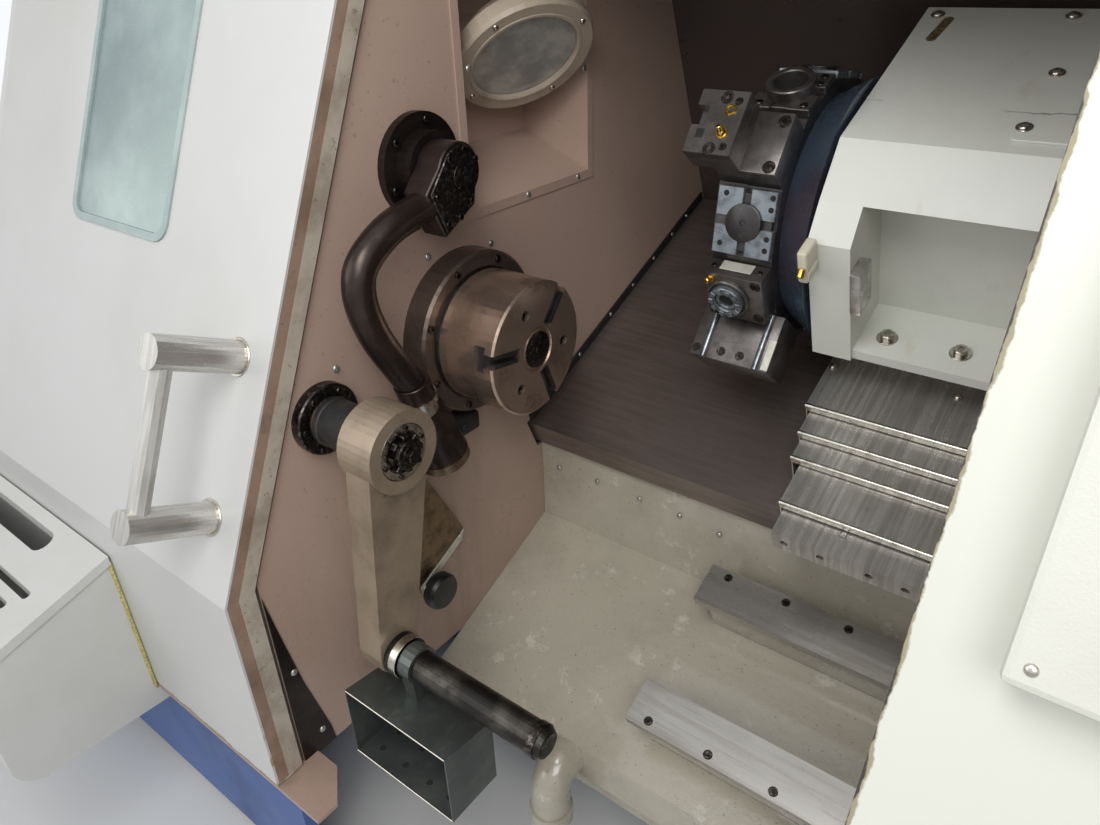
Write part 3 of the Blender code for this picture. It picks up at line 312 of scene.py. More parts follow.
def chuckSteel():
    # turned rings on the face and round the rim, with brown oil in them
    made = Finish("chuckSteel", 0.24, 0.82)
    spindleAxis = (-0.18, 1.0)
    rings, length = (made.node("ShaderNodeTexNoise", {"noise_dimensions": "1D"},
                               {"W": along, "Scale": 1.0, "Detail": detail})
                     for along, detail in ((made.radius(spindleAxis) * 900.0, 3.0), (made.axis("X") * 1100.0, 2.0)))
    lines = rings * 0.5 + length * 0.5
    film = made.band(made.noise(16.0, 5.0, 0.6), 0.44, 0.74)
    tone = film * 0.5 + made.band(lines, 0.4, 0.6) * 0.25
    made.wear(Base_Color=made.mix(tone, (0.74, 0.65, 0.58), (0.42, 0.33, 0.28)),
              Roughness=lines * 0.18 + 0.12 + film * 0.12)
    made.bump(lines, 0.12, 0.0003)
    return made.material


def oxideSteel(name="oxideSteel", colour=(0.25, 0.24, 0.24), light=(0.46, 0.44, 0.42), rough=0.34):
    made = Finish(name, rough, 0.7)
    cloud = made.band(made.noise(14.0, 6.0, 0.65), 0.42, 0.72)
    scratch = made.band(made.noise(90.0, 4.0, 0.6, (1, 0.15, 1)), 0.58, 0.70)
    made.wear(Base_Color=made.mix(cloud * 0.5 + scratch * 0.25, colour, light),
              Roughness=made.noise(22.0, 4.0) * 0.25 + (rough - 0.12))
    made.bump(made.noise(320.0, 3.0) + scratch * 0.3, 0.10, 0.0004)
    return made.material


def bluedSteel():
    made = Finish("bluedSteel", 0.30, 0.7)
    shift = made.band(made.noise(7.0, 3.0), 0.40, 0.65)
    worn = made.band(made.noise(40.0, 5.0, 0.65), 0.62, 0.74)
    colour = made.mix(shift, (0.38, 0.44, 0.51), (0.38, 0.35, 0.40))
    made.wear(Base_Color=made.mix(worn * 0.5, colour, (0.56, 0.55, 0.54)),
              Roughness=made.noise(18.0, 4.0) * 0.2 + 0.18)
    made.bump(made.noise(300.0, 3.0), 0.06, 0.0004)
    return made.material


def frostedGlass():
    # safety glass clouded by coolant, paler low down where the mist has dried
    made = Finish("frostedGlass", 0.22, 0.0, 0.4)
    cloud = made.band(made.noise(5.0, 6.0, 0.6), 0.35, 0.70)
    low = made.band(made.axis("Z") - made.axis("X") * 0.8, 1.98, 1.52)
    drops = made.band(made.noise(95.0, 3.0), 0.62, 0.70)
    made.wear(Base_Color=made.mix(cloud * 0.25 + low * 0.75, (0.50, 0.57, 0.57), (0.76, 0.83, 0.80)),
              Roughness=made.noise(12.0, 4.0) * 0.2 + 0.14 + drops * 0.1, Alpha=0.82 + cloud * 0.14)
    made.bump(drops + made.noise(30.0, 3.0) * 0.3, 0.15, 0.0005)
    return made.material


def cloudedFinish(name, colours, cloud, sheen, grain, amount=1.0, rough=0.3, metal=0.0, coat=0.0, film=0.0,
                  alpha=None):
    # two tones in soft clouds, an uneven sheen and a fine grain
    made = Finish(name, rough, metal, coat)
    patch = made.band(made.noise(*cloud[:3]), *cloud[3:])
    shine = made.noise(*sheen[:2]) * sheen[2] + sheen[3] if len(sheen) == 4 else sheen[0]
    made.wear(Base_Color=made.mix(patch * amount, *colours), Roughness=patch * film + shine if film else shine)
    if alpha:
        made.wear(Alpha=patch * alpha[0] + alpha[1])
    made.bump(made.noise(*grain[:2]), *grain[2:])
    return made.material


def mouldedPlastic(name, *colours):
    return cloudedFinish(name, colours, (35.0, 4.0, 0.5, 0.45, 0.72), (60.0, 3.0, 0.2, 0.22),
                         (600.0, 2.0, 0.08, 0.0003), 0.3, 0.32)


def grainedFinish(name, rough, cells, colours, sheen, bump):
    made = Finish(name, rough)
    grain = made.noise(*cells)
    made.wear(Base_Color=made.mix(made.band(grain, 0.35, 0.65), *colours), Roughness=grain * sheen[0] + sheen[1])
    made.bump(grain, *bump)
    return made.material


def padSteel():
    # small ground faces between oily edges
    made = Finish("padSteel", 0.28, 0.7)
    lines = made.noise(240.0, 3.0, 0.6, (0.1, 1, 1))
    film = made.band(made.noise(55.0, 5.0, 0.62), 0.40, 0.68)
    made.wear(Base_Color=made.mix(film * 0.75, (0.53, 0.56, 0.58), (0.33, 0.34, 0.35)),
              Roughness=lines * 0.25 + 0.16)
    made.bump(lines, 0.12, 0.0003)
    return made.material


def holderSteel():
    # tool holders: ground faces rubbed bright along the edges, oily brown between
    made = Finish("holderSteel", 0.3, 0.72)
    lines = made.noise(120.0, 4.0, 0.6, (1, 0.12, 1))
    film = made.band(made.noise(24.0, 5.0, 0.62), 0.38, 0.66)
    tone = film * 0.6 + made.band(lines, 0.4, 0.6) * 0.2
    made.wear(Base_Color=made.mix(tone, (0.42, 0.40, 0.39), (0.26, 0.245, 0.235)), Roughness=lines * 0.22 + 0.22)
    made.bump(lines, 0.10, 0.0003)
    return made.material


def paintedHoleShade():
    # painted shade: near-black sheets standing for the unlit inside of holes, bores and slots
    made = Finish("paintedHoleShade", 0.8)
    made.wear(Base_Color=made.mix(made.noise(90.0, 3.0), (0.05, 0.045, 0.04), (0.11, 0.10, 0.09)),
              Roughness=made.noise(70.0, 2.0) * 0.2 + 0.7)
    made.bump(made.noise(300.0, 2.0), 0.1, 0.0003)
    return made.material


def edgeEnamel(name, colour, worn, flake):
    # strips on the door's edge, oily and lightly flaked: the pale one old sealer, the brown one painted shade of the
    # door's return
    made = Finish(name, 0.5)
    cloud = made.band(made.noise(14.0, 5.0, 0.62), 0.40, 0.68)
    flakes = made.band(made.noise(110.0, 4.0, 0.6), 0.63, 0.67)
    paint = made.mix(cloud, colour, worn)
    made.wear(Base_Color=made.mix(flakes * flake, paint, (0.38, 0.32, 0.25)),
              Roughness=made.noise(60.0, 3.0) * 0.25 + 0.34)
    made.bump(cloud * 0.3 - flakes, 0.4, 0.0005)
    return made.material


def blackRod():
    # black oxide bar, rubbed grey along its middle
    made = Finish("blackRod", 0.32, 0.8)
    grain = made.noise(420.0, 3.0)
    middle = made.band(made.noise(18.0, 5.0, 0.62), 0.42, 0.66)
    made.wear(Base_Color=made.mix(middle * 0.55, (0.17, 0.16, 0.15), (0.40, 0.38, 0.35)),
              Roughness=grain * 0.25 + 0.22)
    made.bump(grain, 0.35, 0.0005)
    return made.material


def armCasting():
    # fine cast arm, oily brown in the hollows and rubbed along its sides
    made = Finish("armCasting", 0.4, 0.45)
    cloud = made.band(made.noise(11.0, 6.0, 0.65), 0.42, 0.72)
    grain = made.noise(520.0, 3.0)
    specks = made.band(made.noise(190.0, 3.0), 0.62, 0.70)
    made.wear(Base_Color=made.mix(cloud * 0.55 + specks * 0.3, (0.62, 0.555, 0.48), (0.42, 0.36, 0.30)),
              Roughness=grain * 0.3 + 0.24 + cloud * 0.08)
    made.bump(grain - specks * 0.4, 0.25, 0.0005)
    return made.material


finishes = {
    "white": paintFinish("whiteEnamel", (0.80, 0.80, 0.785), (0.66, 0.64, 0.60), 0.36, 0.30),
    "endCover": coverEnamel(), "jamb": jambEnamel(), "door": doorEnamel(),
    "blue": paintFinish("blueEnamel", (0.24, 0.36, 0.60), (0.12, 0.16, 0.24), 0.4, 0.5, 0.08, 5.0),
    "pan": creamPan(), "wall": tanWall(),
    "rear": paintFinish("rearWall", (0.30, 0.26, 0.25), (0.20, 0.17, 0.16), 0.3, 0.5),
    "housing": housingEnamel(), "casting": machinedCasting(),
    "rail": streakedSteel("groundRail", (0.68, 0.67, 0.645), (0.50, 0.475, 0.44), (0.05, 1, 1), alongBed,
                          0.24, 0.35, 90.0),
    "wayCover": streakedSteel("wayCover", (0.56, 0.52, 0.50), (0.45, 0.40, 0.37), (0.08, 1, 1), alongBed,
                              0.32, 0.5, 110.0),
    # covers brushed across, scraped bright by the wipers of the cover above
    "cover": streakedSteel("brushedCover", (0.80, 0.79, 0.77), (0.44, 0.41, 0.38), (1, 0.03, 0.03), alongBed,
                           0.27, 0.35, 150.0),
    "steel": streakedSteel("plainSteel", (0.76, 0.75, 0.73), (0.52, 0.50, 0.47), (0.1, 1, 1), rough=0.25),
    "chuck": chuckSteel(), "oxide": oxideSteel(),
    "dark": oxideSteel("darkOxide", (0.17, 0.14, 0.13), (0.29, 0.25, 0.23), 0.36),
    "ring": oxideSteel("ringSteel", (0.38, 0.33, 0.30), (0.52, 0.46, 0.41), 0.30),
    "setter": oxideSteel("setterSteel", (0.20, 0.165, 0.15), (0.34, 0.29, 0.265), 0.30),
    "bucket": oxideSteel("bucketSteel", (0.36, 0.38, 0.37), (0.52, 0.53, 0.50), 0.36),
    "blued": bluedSteel(),
    "handle": streakedSteel("brushedHandle", (0.83, 0.82, 0.80), (0.60, 0.58, 0.55), (1, 0.05, 0.05), (lean, 0, 0),
                            0.26, 0.12, 220.0),
    "glass": frostedGlass(),
    # translucent seal, the colour of the clouded pane
    "gasket": cloudedFinish("gasketRubber", ((0.60, 0.66, 0.65), (0.70, 0.75, 0.73)), (16.0, 5.0, 0.6, 0.40, 0.70),
                            (50.0, 3.0, 0.2, 0.3), (300.0, 2.0, 0.06, 0.0003), 0.6, 0.4),
    "lens": cloudedFinish("lampGlass", ((0.60, 0.60, 0.58), (0.74, 0.73, 0.69)), (20.0, 5.0, 0.6, 0.35, 0.70),
                          (25.0, 4.0, 0.2, 0.08), (60.0, 3.0, 0.15, 0.0006), rough=0.18, coat=0.5, alpha=(0.1, 0.85)),
    "black": cloudedFinish("mattBlack", ((0.11, 0.11, 0.11), (0.28, 0.26, 0.24)), (30.0, 5.0, 0.6, 0.48, 0.75),
                           (40.0, 3.0, 0.25, 0.42), (500.0, 2.0, 0.15, 0.0004), 0.4, 0.6),
    "grey": paintFinish("texturedGrey", (0.62, 0.63, 0.63), (0.45, 0.45, 0.44), 0.45, 0.35, 0.4),
    "red": mouldedPlastic("redPlastic", (0.74, 0.13, 0.10), (0.48, 0.08, 0.07)),
    "green": mouldedPlastic("greenPlastic", (0.16, 0.52, 0.28), (0.08, 0.32, 0.17)),
    "knob": mouldedPlastic("knobPlastic", (0.12, 0.12, 0.12), (0.24, 0.23, 0.22)),
    "ivory": mouldedPlastic("ivoryPlastic", (0.84, 0.82, 0.74), (0.66, 0.62, 0.50)),
    "brass": cloudedFinish("brass", ((0.86, 0.70, 0.34), (0.55, 0.42, 0.20)), (60.0, 4.0, 0.5, 0.42, 0.70),
                           (0.16,), (400.0, 2.0, 0.08, 0.0003), 0.5, 0.25, 1.0, film=0.25),
    "foam": grainedFinish("yellowFoam", 0.8, (260.0, 4.0), ((0.80, 0.76, 0.50), (0.62, 0.58, 0.38)),
                          (0.2, 0.7), (0.5, 0.001)),
    # black oxide screws with bright rubbed rims and oil in the sockets
    "screw": cloudedFinish("screwSteel", ((0.20, 0.18, 0.17), (0.46, 0.43, 0.40)), (160.0, 4.0, 0.6, 0.50, 0.66),
                           (90.0, 3.0, 0.3, 0.16), (500.0, 2.0, 0.08, 0.0003), 0.7, 0.3, 0.9),
    "bright": cloudedFinish("brightSteel", ((0.78, 0.76, 0.72), (0.46, 0.43, 0.39)), (70.0, 4.0, 0.6, 0.46, 0.70),
                            (110.0, 3.0, 0.25, 0.12), (600.0, 2.0, 0.06, 0.0003), 0.6, 0.22, 1.0),
    "bronze": cloudedFinish("bronzeSteel", ((0.52, 0.45, 0.38), (0.26, 0.21, 0.18)), (45.0, 5.0, 0.6, 0.42, 0.70),
                            (70.0, 3.0, 0.25, 0.18), (350.0, 3.0, 0.08, 0.0004), 0.6, 0.3, 1.0),
    "padSteel": padSteel(), "holder": holderSteel(), "hole": paintedHoleShade(),
    "rust": grainedFinish("rustFilm", 0.6, (120.0, 5.0, 0.65), ((0.50, 0.43, 0.30), (0.28, 0.23, 0.17)),
                          (0.3, 0.45), (0.4, 0.0005)),
    "pale": cloudedFinish("palePlate", ((0.80, 0.79, 0.74), (0.58, 0.55, 0.49)), (50.0, 5.0, 0.6, 0.42, 0.72),
                          (80.0, 3.0, 0.2, 0.26), (400.0, 2.0, 0.06, 0.0003), 0.6, 0.35, 0.3),
    # the brown band is painted shade of the door's return over its cream edge, lightly flaked
    "edgeBand": edgeEnamel("edgeBand", (0.60, 0.50, 0.43), (0.50, 0.41, 0.34), 0.4),
    "edgePale": edgeEnamel("edgePale", (0.72, 0.68, 0.62), (0.60, 0.55, 0.49), 0.5),
    "lampPaint": paintFinish("lampEnamel", (0.72, 0.66, 0.59), (0.50, 0.43, 0.36), 0.34, 0.55, 0.05, 12.0),
    "cabinet": paintFinish("cabinetEnamel", (0.83, 0.83, 0.79), (0.70, 0.69, 0.64), 0.38, 0.30, 0.30, 3.0),
    "screen": cloudedFinish("screenGlass", ((0.10, 0.12, 0.14), (0.34, 0.35, 0.36)), (12.0, 6.0, 0.65, 0.50, 0.80),
                            (20.0, 4.0, 0.12, 0.05), (200.0, 2.0, 0.02, 0.0002), 0.4, 0.12, coat=0.6, film=0.2),
    "rod": blackRod(), "arm": armCasting(),
}

dressed = {
    "endCover": ["left_cover"], "white": ["roof_panel", "electrical_cabinet", "door_rail", "shelf_box", "shelf_lid"],
    "jamb": ["right_cover"], "door": ["door_panel"], "blue": ["base_frame"],
    "pan": ["bed_casting", "chip_pan", "drain_elbow"], "lampPaint": ["work_lamp"],
    "wall": ["headstock_wall", "end_wall", "lamp_recess", "front_sill"], "rear": ["rear_wall"],
    "housing": ["turret_housing"], "casting": ["headstock_casting", "cross_slide"], "arm": ["catcher_arm"],
    "rail": ["rail_back", "rail_front"], "wayCover": ["left_way_cover", "right_way_cover"],
    "cover": ["saddle", "x_cover_1", "x_cover_2", "x_cover_3"],
    "steel": ["front_bearing", "spindle_shaft", "z_screw", "x_screw"], "rod": ["catcher_rod"],
    "chuck": ["chuck_body"], "ring": ["nose_ring"], "blued": ["turret_disc"], "bucket": ["bucket"],
    "oxide": ["turret_head", "boring_holder", "turning_holder", "drill_holder", "grooving_holder",
              "master_jaw_1", "master_jaw_2", "master_jaw_3"],
    "dark": ["motor_stator", "chuck_cylinder", "setter_base", "setter_arm"],
    "handle": ["door_handle"], "glass": ["door_window"], "gasket": ["window_gasket"], "lens": ["lamp_lens"],
    "black": ["z_motor"], "cabinet": ["control_cabinet"],
    "red": ["emergency_stop"], "green": ["cycle_start"], "knob": ["feed_override"],
}
for finish, names in dressed.items():
    for name in names:
        cadNode = nodes[name]
        cadNode.data.materials.clear()
        cadNode.data.materials.append(finishes[finish])
print("CAD nodes dressed")


# ---- shapes ----

toRight, toFront, toTop = (1, 0, 0), (0, -1, 0), (0, 0, 1)


def turnTo(at, axis):
    # a place whose Z points along an axis
    return Matrix.Translation(at) @ Vector(axis).to_track_quat("Z", "Y").to_matrix().to_4x4()


def pour(bm, small, place=Matrix()):
    # puts a small finished mesh into a larger one
    bmesh.ops.transform(small, matrix=place, verts=small.verts)
    bmesh.ops.recalc_face_normals(small, faces=small.faces)
    mesh = bpy.data.meshes.new("small")
    small.to_mesh(mesh)
    small.free()
    bm.from_mesh(mesh)
    bpy.data.meshes.remove(mesh)


def soften(small, soft, segments=1):
    bmesh.ops.bevel(small, geom=small.edges, offset=soft, segments=segments, profile=0.5, affect="EDGES")


def skin(bm, small, loops, place=Matrix()):
    # a closed body through a run of loops
    for lower, upper in zip(loops, loops[1:]):
        bmesh.ops.bridge_loops(small, edges=lower + upper)
    bmesh.ops.edgeloop_fill(small, edges=loops[0])
    bmesh.ops.edgeloop_fill(small, edges=loops[-1])
    pour(bm, small, place)


def addBox(bm, x, y, z, soft=0.0, segments=2):
    small = bmesh.new()
    size = Matrix.Diagonal((x[1] - x[0], y[1] - y[0], z[1] - z[0], 1))
    middle = Matrix.Translation(((x[0] + x[1]) / 2, (y[0] + y[1]) / 2, (z[0] + z[1]) / 2))
    bmesh.ops.create_cube(small, size=1.0, matrix=middle @ size)
    if soft:
        soften(small, soft, segments)
    pour(bm, small)


def addPlate(bm, outline, low, high, axes=("Y", "Z"), soft=0.0):
    # a flat outline given a thickness along the third axis
    letters = "XYZ"
    first, second = (letters.index(a) for a in axes)
    third = 3 - first - second
    small = bmesh.new()
    corners = []
    for a, b in outline:
        at = [0, 0, 0]
        at[first], at[second], at[third] = a, b, low
        corners.append(small.verts.new(at))
    face = small.faces.new(corners)
    grown = bmesh.ops.extrude_face_region(small, geom=[face])["geom"]
    step = [0, 0, 0]
    step[third] = high - low
    bmesh.ops.translate(small, verts=[v for v in grown if isinstance(v, bmesh.types.BMVert)], vec=step)
    if soft:
        soften(small, soft)
    pour(bm, small)


def roundOutline(centre, radius, first=0, last=360, steps=24):
    return [(centre[0] + radius * cos(radians(first + (last - first) * i / steps)),
             centre[1] + radius * sin(radians(first + (last - first) * i / steps))) for i in range(steps)]


def oblong(x, y, radius, steps=6):
    # a rectangle with rounded corners
    return (roundOutline((x[1] - radius, y[1] - radius), radius, 0, 90, steps)
            + roundOutline((x[0] + radius, y[1] - radius), radius, 90, 180, steps)
            + roundOutline((x[0] + radius, y[0] + radius), radius, 180, 270, steps)
            + roundOutline((x[1] - radius, y[0] + radius), radius, 270, 360, steps))


def addTurned(bm, profile, at, axis, steps=32):
    # profile points are (radius, height), spun about the axis
    small = bmesh.new()
    line = [small.verts.new((r, 0, h)) for r, h in profile]
    edges = [small.edges.new(pair) for pair in zip(line, line[1:])]
    bmesh.ops.spin(small, geom=line + edges, cent=(0, 0, 0), axis=(0, 0, 1), angle=2 * pi, steps=steps,
                   use_merge=True)
    bmesh.ops.remove_doubles(small, verts=small.verts, dist=0.00001)
    pour(bm, small, turnTo(at, axis))


def addRing(bm, outer, inner, low, high, at, axis, soft=0.0006, steps=32):
    # a turned ring with broken edges
    addTurned(bm, [(inner, low), (outer, low), (outer, high - soft), (outer - soft, high), (inner + soft, high),
                   (inner, high - soft), (inner, low)], at, axis, steps)


def addDisc(bm, radius, low, high, at, axis, soft=0.0006, steps=28):
    addTurned(bm, [(0, low), (radius, low), (radius, high - soft), (radius - soft, high), (0, high)], at, axis, steps)


def addRod(bm, start, end, radius, soft=0.0006, steps=24):
    start, end = Vector(start), Vector(end)
    length = (end - start).length
    addTurned(bm, [(0, 0), (radius - soft, 0), (radius, soft), (radius, length - soft), (radius - soft, length),
                   (0, length)], start, end - start, steps)


def bending(points, between=6):
    # a route that flows through its points
    route = []
    for i in range(len(points) - 1):
        before, first = Vector(points[max(i - 1, 0)]), Vector(points[i])
        second, after = Vector(points[i + 1]), Vector(points[min(i + 2, len(points) - 1)])
        for j in range(between):
            t = j / between
            pull = (second - before) * (t * (1 - t) ** 2 / 2) - (after - first) * (t ** 2 * (1 - t) / 2)
            route.append(first.lerp(second, t * t * (3 - 2 * t)) + pull)
    return route + [Vector(points[-1])]


def addTube(bm, route, radii, steps=32):
    # a round bar along a route, its radius given at each point
    small = bmesh.new()
    loops = []
    side = Vector((1, 0, 0))
    for i, point in enumerate(route):
        way = (route[min(i + 1, len(route) - 1)] - route[max(i - 1, 0)]).normalized()
        side = (side - way * side.dot(way)).normalized()
        place = Matrix((side, way.cross(side), way)).transposed().to_4x4()
        circle = bmesh.ops.create_circle(small, segments=steps, radius=radii[i],
                                         matrix=Matrix.Translation(point) @ place)["verts"]
        loops.append(list({e for v in circle for e in v.link_edges}))
    skin(bm, small, loops)


def addSocketScrew(bm, at, axis, radius, height=None, sides=18):
    # cap screw: chamfered head with a six-sided hole
    height = radius if height is None else height
    small = bmesh.new()
    loops = []
    for width, level, count in ((radius, 0, sides), (radius, height - radius * 0.12, sides),
                                (radius * 0.88, height, sides), (radius * 0.54, height, 6),
                                (radius * 0.54, height * 0.35, 6)):
        circle = bmesh.ops.create_circle(small, segments=count, radius=width,
                                         matrix=Matrix.Translation((0, 0, level)))["verts"]
        loops.append(list({e for v in circle for e in v.link_edges}))
    skin(bm, small, loops, turnTo(at, axis))


def addDome(bm, at, axis, radius, flat=0.55):
    # dome head screw standing on a surface
    profile = [(0, 0)] + [(radius * cos(radians(a)), radius * flat * sin(radians(a))) for a in range(0, 90, 15)]
    addTurned(bm, profile + [(0, radius * flat)], at, axis, 16)


def addHexHead(bm, at, axis, radius, height):
    # hexagon bolt on its washer
    addDisc(bm, radius * 1.35, 0, height * 0.22, at, axis, 0.0003, 24)
    small = bmesh.new()
    bmesh.ops.create_cone(small, cap_ends=True, segments=6, radius1=radius, radius2=radius, depth=height,
                          matrix=Matrix.Translation((0, 0, height * 0.22 + height / 2)))
    soften(small, radius * 0.06)
    pour(bm, small, turnTo(at, axis))


def addScrewCircle(bm, x, away, angles, radius, height, axis=toRight):
    # cap screws on a circle about X
    for angle in angles:
        addSocketScrew(bm, (x, away * cos(radians(angle)), away * sin(radians(angle))), axis, radius, height)


def addRingedScrew(bm, at, axis, ring, screw, steps=24):
    # cap screw sunk one millimetre in its ring: (outer, inner, height) and (radius, height)
    addRing(bm, ring[0], ring[1], 0, ring[2], at, axis, 0.0002, steps)
    addSocketScrew(bm, Vector(at) - Vector(axis) * 0.0010, axis, *screw)


def addTeeth(bm, count, middle, size, soft, place, letter):
    # small blocks round a nut
    for number in range(count):
        small = bmesh.new()
        bmesh.ops.create_cube(small, size=1.0, matrix=Matrix.Translation(middle) @ Matrix.Diagonal((*size, 1)))
        soften(small, soft)
        pour(bm, small, place @ Matrix.Rotation(2 * pi * number / count, 4, letter))


usualSlot = {
    "ground_steel": ["steel", "bright", "brass", "pale"],
    "dark_steel": ["screw", "setter", "bronze", "hole", "dark", "oxide", "holder", "padSteel"],
    "black_rubber": ["black", "foam"], "cream_paint": ["pan", "lampPaint", "ivory", "edgePale"],
    "knob_black": ["knob", "screen"], "enclosure_paint": ["white"], "housing_paint": ["housing"],
    "casting": ["rust"], "wall_paint": ["edgeBand"], "panel_grey": ["grey"],
}
slotOf = {finish: slot for slot, names in usualSlot.items() for finish in names}


def finishPiece(name, bm, place, finish, body="machine", slot=None, angle=32):
    # into the row frame, faces outwards, on its body
    bmesh.ops.transform(bm, matrix=place, verts=bm.verts)
    bmesh.ops.recalc_face_normals(bm, faces=bm.faces)
    mesh = bpy.data.meshes.new(name)
    bm.to_mesh(mesh)
    bm.free()
    slot = slot or slotOf[finish]
    piece = bpy.data.objects.new(name, mesh)
    bpy.context.scene.collection.objects.link(piece)
    mesh.materials.append(finishes[finish])
    mesh.shade_smooth()
    mesh.set_sharp_from_angle(angle=radians(angle))
    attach(piece, body)
    return piece


# ---- camera and light ----

camera = bpy.data.objects.new("camera", bpy.data.cameras.new("camera"))
bpy.context.scene.collection.objects.link(camera)
photoView = {
    "place": (0.6564, -1.0436, 1.5225), "right": (0.79304, 0.60844, -0.02978),
    "up": (-0.28012, 0.40765, 0.86911), "forward": (-0.54095, 0.68090, -0.49372), "lens": 26.55,
}
turn = Matrix((photoView["right"], photoView["up"], [-c for c in photoView["forward"]])).transposed().to_4x4()
camera.matrix_world = Matrix.Translation(photoView["place"]) @ turn
camera.data.lens = photoView["lens"]
camera.data.sensor_width = 36
camera.data.clip_start = 0.01
bpy.context.scene.camera = camera

studio = {
    "key": {"at": (1.9, -2.6, 3.1), "size": 1.8, "power": 48, "to": (0.0, 0.0, 0.9)},
    "fill": {"at": (-1.9, -3.0, 2.3), "size": 2.2, "power": 24, "to": (0.0, 0.0, 0.9)},
    "back": {"at": (-1.2, 3.2, 2.8), "size": 2.2, "power": 34, "to": (0.0, 0.3, 0.9)},
    "chamber": {"at": (0.35, -1.15, 2.25), "size": 0.6, "power": 9, "to": (0.05, 0.0, 0.8)},
}
for name, lamp in studio.items():
    light = bpy.data.lights.new(name, "AREA")
    light.energy = lamp["power"]
    light.size = lamp["size"]
    holder = bpy.data.objects.new(name, light)
    bpy.context.scene.collection.objects.link(holder)
    holder.location = lamp["at"]
    holder.rotation_euler = (Vector(lamp["to"]) - Vector(lamp["at"])).to_track_quat("-Z", "Y").to_euler()

world = bpy.data.worlds.new("studio")
bpy.context.scene.world = world
world.use_nodes = True
sky = world.node_tree.nodes["Background"]
sky.inputs["Color"].default_value = (0.95, 0.97, 1.0, 1)
path = world.node_tree.nodes.new("ShaderNodeLightPath")
seen = world.node_tree.nodes.new("ShaderNodeMath")
seen.operation = "MAXIMUM"
world.node_tree.links.new(path.outputs["Is Camera Ray"], seen.inputs[0])
world.node_tree.links.new(path.outputs["Is Glossy Ray"], seen.inputs[1])
pale = world.node_tree.nodes.new("ShaderNodeMath")
pale.operation = "MAXIMUM"
world.node_tree.links.new(seen.outputs[0], pale.inputs[0])
world.node_tree.links.new(path.outputs["Is Transmission Ray"], pale.inputs[1])
strength = world.node_tree.nodes.new("ShaderNodeMapRange")
strength.inputs["To Min"].default_value = 0.50
strength.inputs["To Max"].default_value = 1.0
world.node_tree.links.new(pale.outputs[0], strength.inputs["Value"])
world.node_tree.links.new(strength.outputs[0], sky.inputs["Strength"])

scene = bpy.context.scene
scene.view_settings.view_transform = "Standard"

bm = bmesh.new()
bmesh.ops.create_grid(bm, x_segments=1, y_segments=1, size=9.0)
floorMesh = bpy.data.meshes.new("floor")
bm.to_mesh(floorMesh)
bm.free()
floor = bpy.data.objects.new("floor", floorMesh)
scene.collection.objects.link(floor)
floorFinish = Finish("paleFloor", 0.7)
dust = floorFinish.noise(1.5, 4.0) * 0.3
floorFinish.wear(Base_Color=floorFinish.mix(dust, (0.86, 0.86, 0.85), (0.80, 0.80, 0.79)))
floorMesh.materials.append(floorFinish.material)
print("camera, light and floor ready")


# ---- wall and pan screws ----

wallScrews = {"places": [(0.055, 0.381), (0.34, 0.35), (0.178, 0.174), (0.318, 0.174), (0.078, 0.118),
                         (-0.062, 0.135), (-0.256, 0.031)], "radius": 0.0055}
bm = bmesh.new()
for y, z in wallScrews["places"]:
    addDome(bm, (wallX + 0.0023, y, z), toRight, wallScrews["radius"])
finishPiece("wall_screws", bm, machineFrame, "steel")

stripScrews = {"places": [(-0.11, -0.358), (-0.02, -0.355), (0.074, -0.357), (0.158, -0.359), (0.237, -0.366)],
               "radius": 0.005}
bm = bmesh.new()
for x, z in stripScrews["places"]:
    addDome(bm, (x, 0.19 - 0.003, z), toFront, stripScrews["radius"])
finishPiece("strip_screws", bm, machineFrame, "steel")

# rubber lip that wipes the way cover where it runs through the wall
wiper = {"up": (0.045, 0.742), "over": (-0.2925, -0.276), "thick": 0.004,
         "screws": (0.10, 0.22, 0.339, 0.43, 0.518, 0.60, 0.665)}
bm = bmesh.new()
addBox(bm, (wallX + 0.0003, wallX + wiper["thick"]), wiper["up"], wiper["over"], 0.001)
finishPiece("way_wiper", bm, slopeFrame, "black")
bm = bmesh.new()
for up in wiper["screws"]:
    addDome(bm, (wallX + wiper["thick"], up, -0.284), toRight, 0.0042)
finishPiece("wiper_screws", bm, slopeFrame, "steel")

railBolts = {"rows": (-0.034, -0.308), "start": 0.282, "pitch": 0.1025, "count": 6, "seat": -0.4349, "radius": 0.0064}
bm = bmesh.new()
for row in railBolts["rows"]:
    for number in range(railBolts["count"]):
        x = railBolts["start"] + number * railBolts["pitch"]
        addSocketScrew(bm, (x, row, railBolts["seat"]), toTop, railBolts["radius"], 0.0055)
finishPiece("rail_bolts", bm, slopeFrame, "screw")
print("screws in")


# ---- chuck and spindle nose ----

chuckFace = {"cover": 0.0285, "boltCircle": 0.06615, "bolts": (111, 231, 351), "seat": -0.0119}
bm = bmesh.new()
addTurned(bm, [(0, 0.0002), (chuckFace["cover"], 0.0002), (chuckFace["cover"], 0.0014), (0.0275, 0.0020),
               (0.0085, 0.0020), (0.0078, 0.0008), (0, 0.0008)], (0, 0, 0), toRight, 40)
finishPiece("chuck_cover", bm, machineFrame, "screw", "spindle")
bm = bmesh.new()
addSocketScrew(bm, (0.0009, 0, 0), toRight, 0.0068, 0.0035)
addScrewCircle(bm, chuckFace["seat"], chuckFace["boltCircle"], chuckFace["bolts"], 0.0074, 0.0085)
finishPiece("chuck_bolts", bm, machineFrame, "screw", "spindle")

noseRing = {"face": -0.1098, "circle": 0.1185, "bolts": [22.5 + 45 * n for n in range(8)], "radius": 0.0058}
bm = bmesh.new()
addScrewCircle(bm, noseRing["face"], noseRing["circle"], noseRing["bolts"], noseRing["radius"], 0.0030)
finishPiece("nose_bolts", bm, machineFrame, "screw")

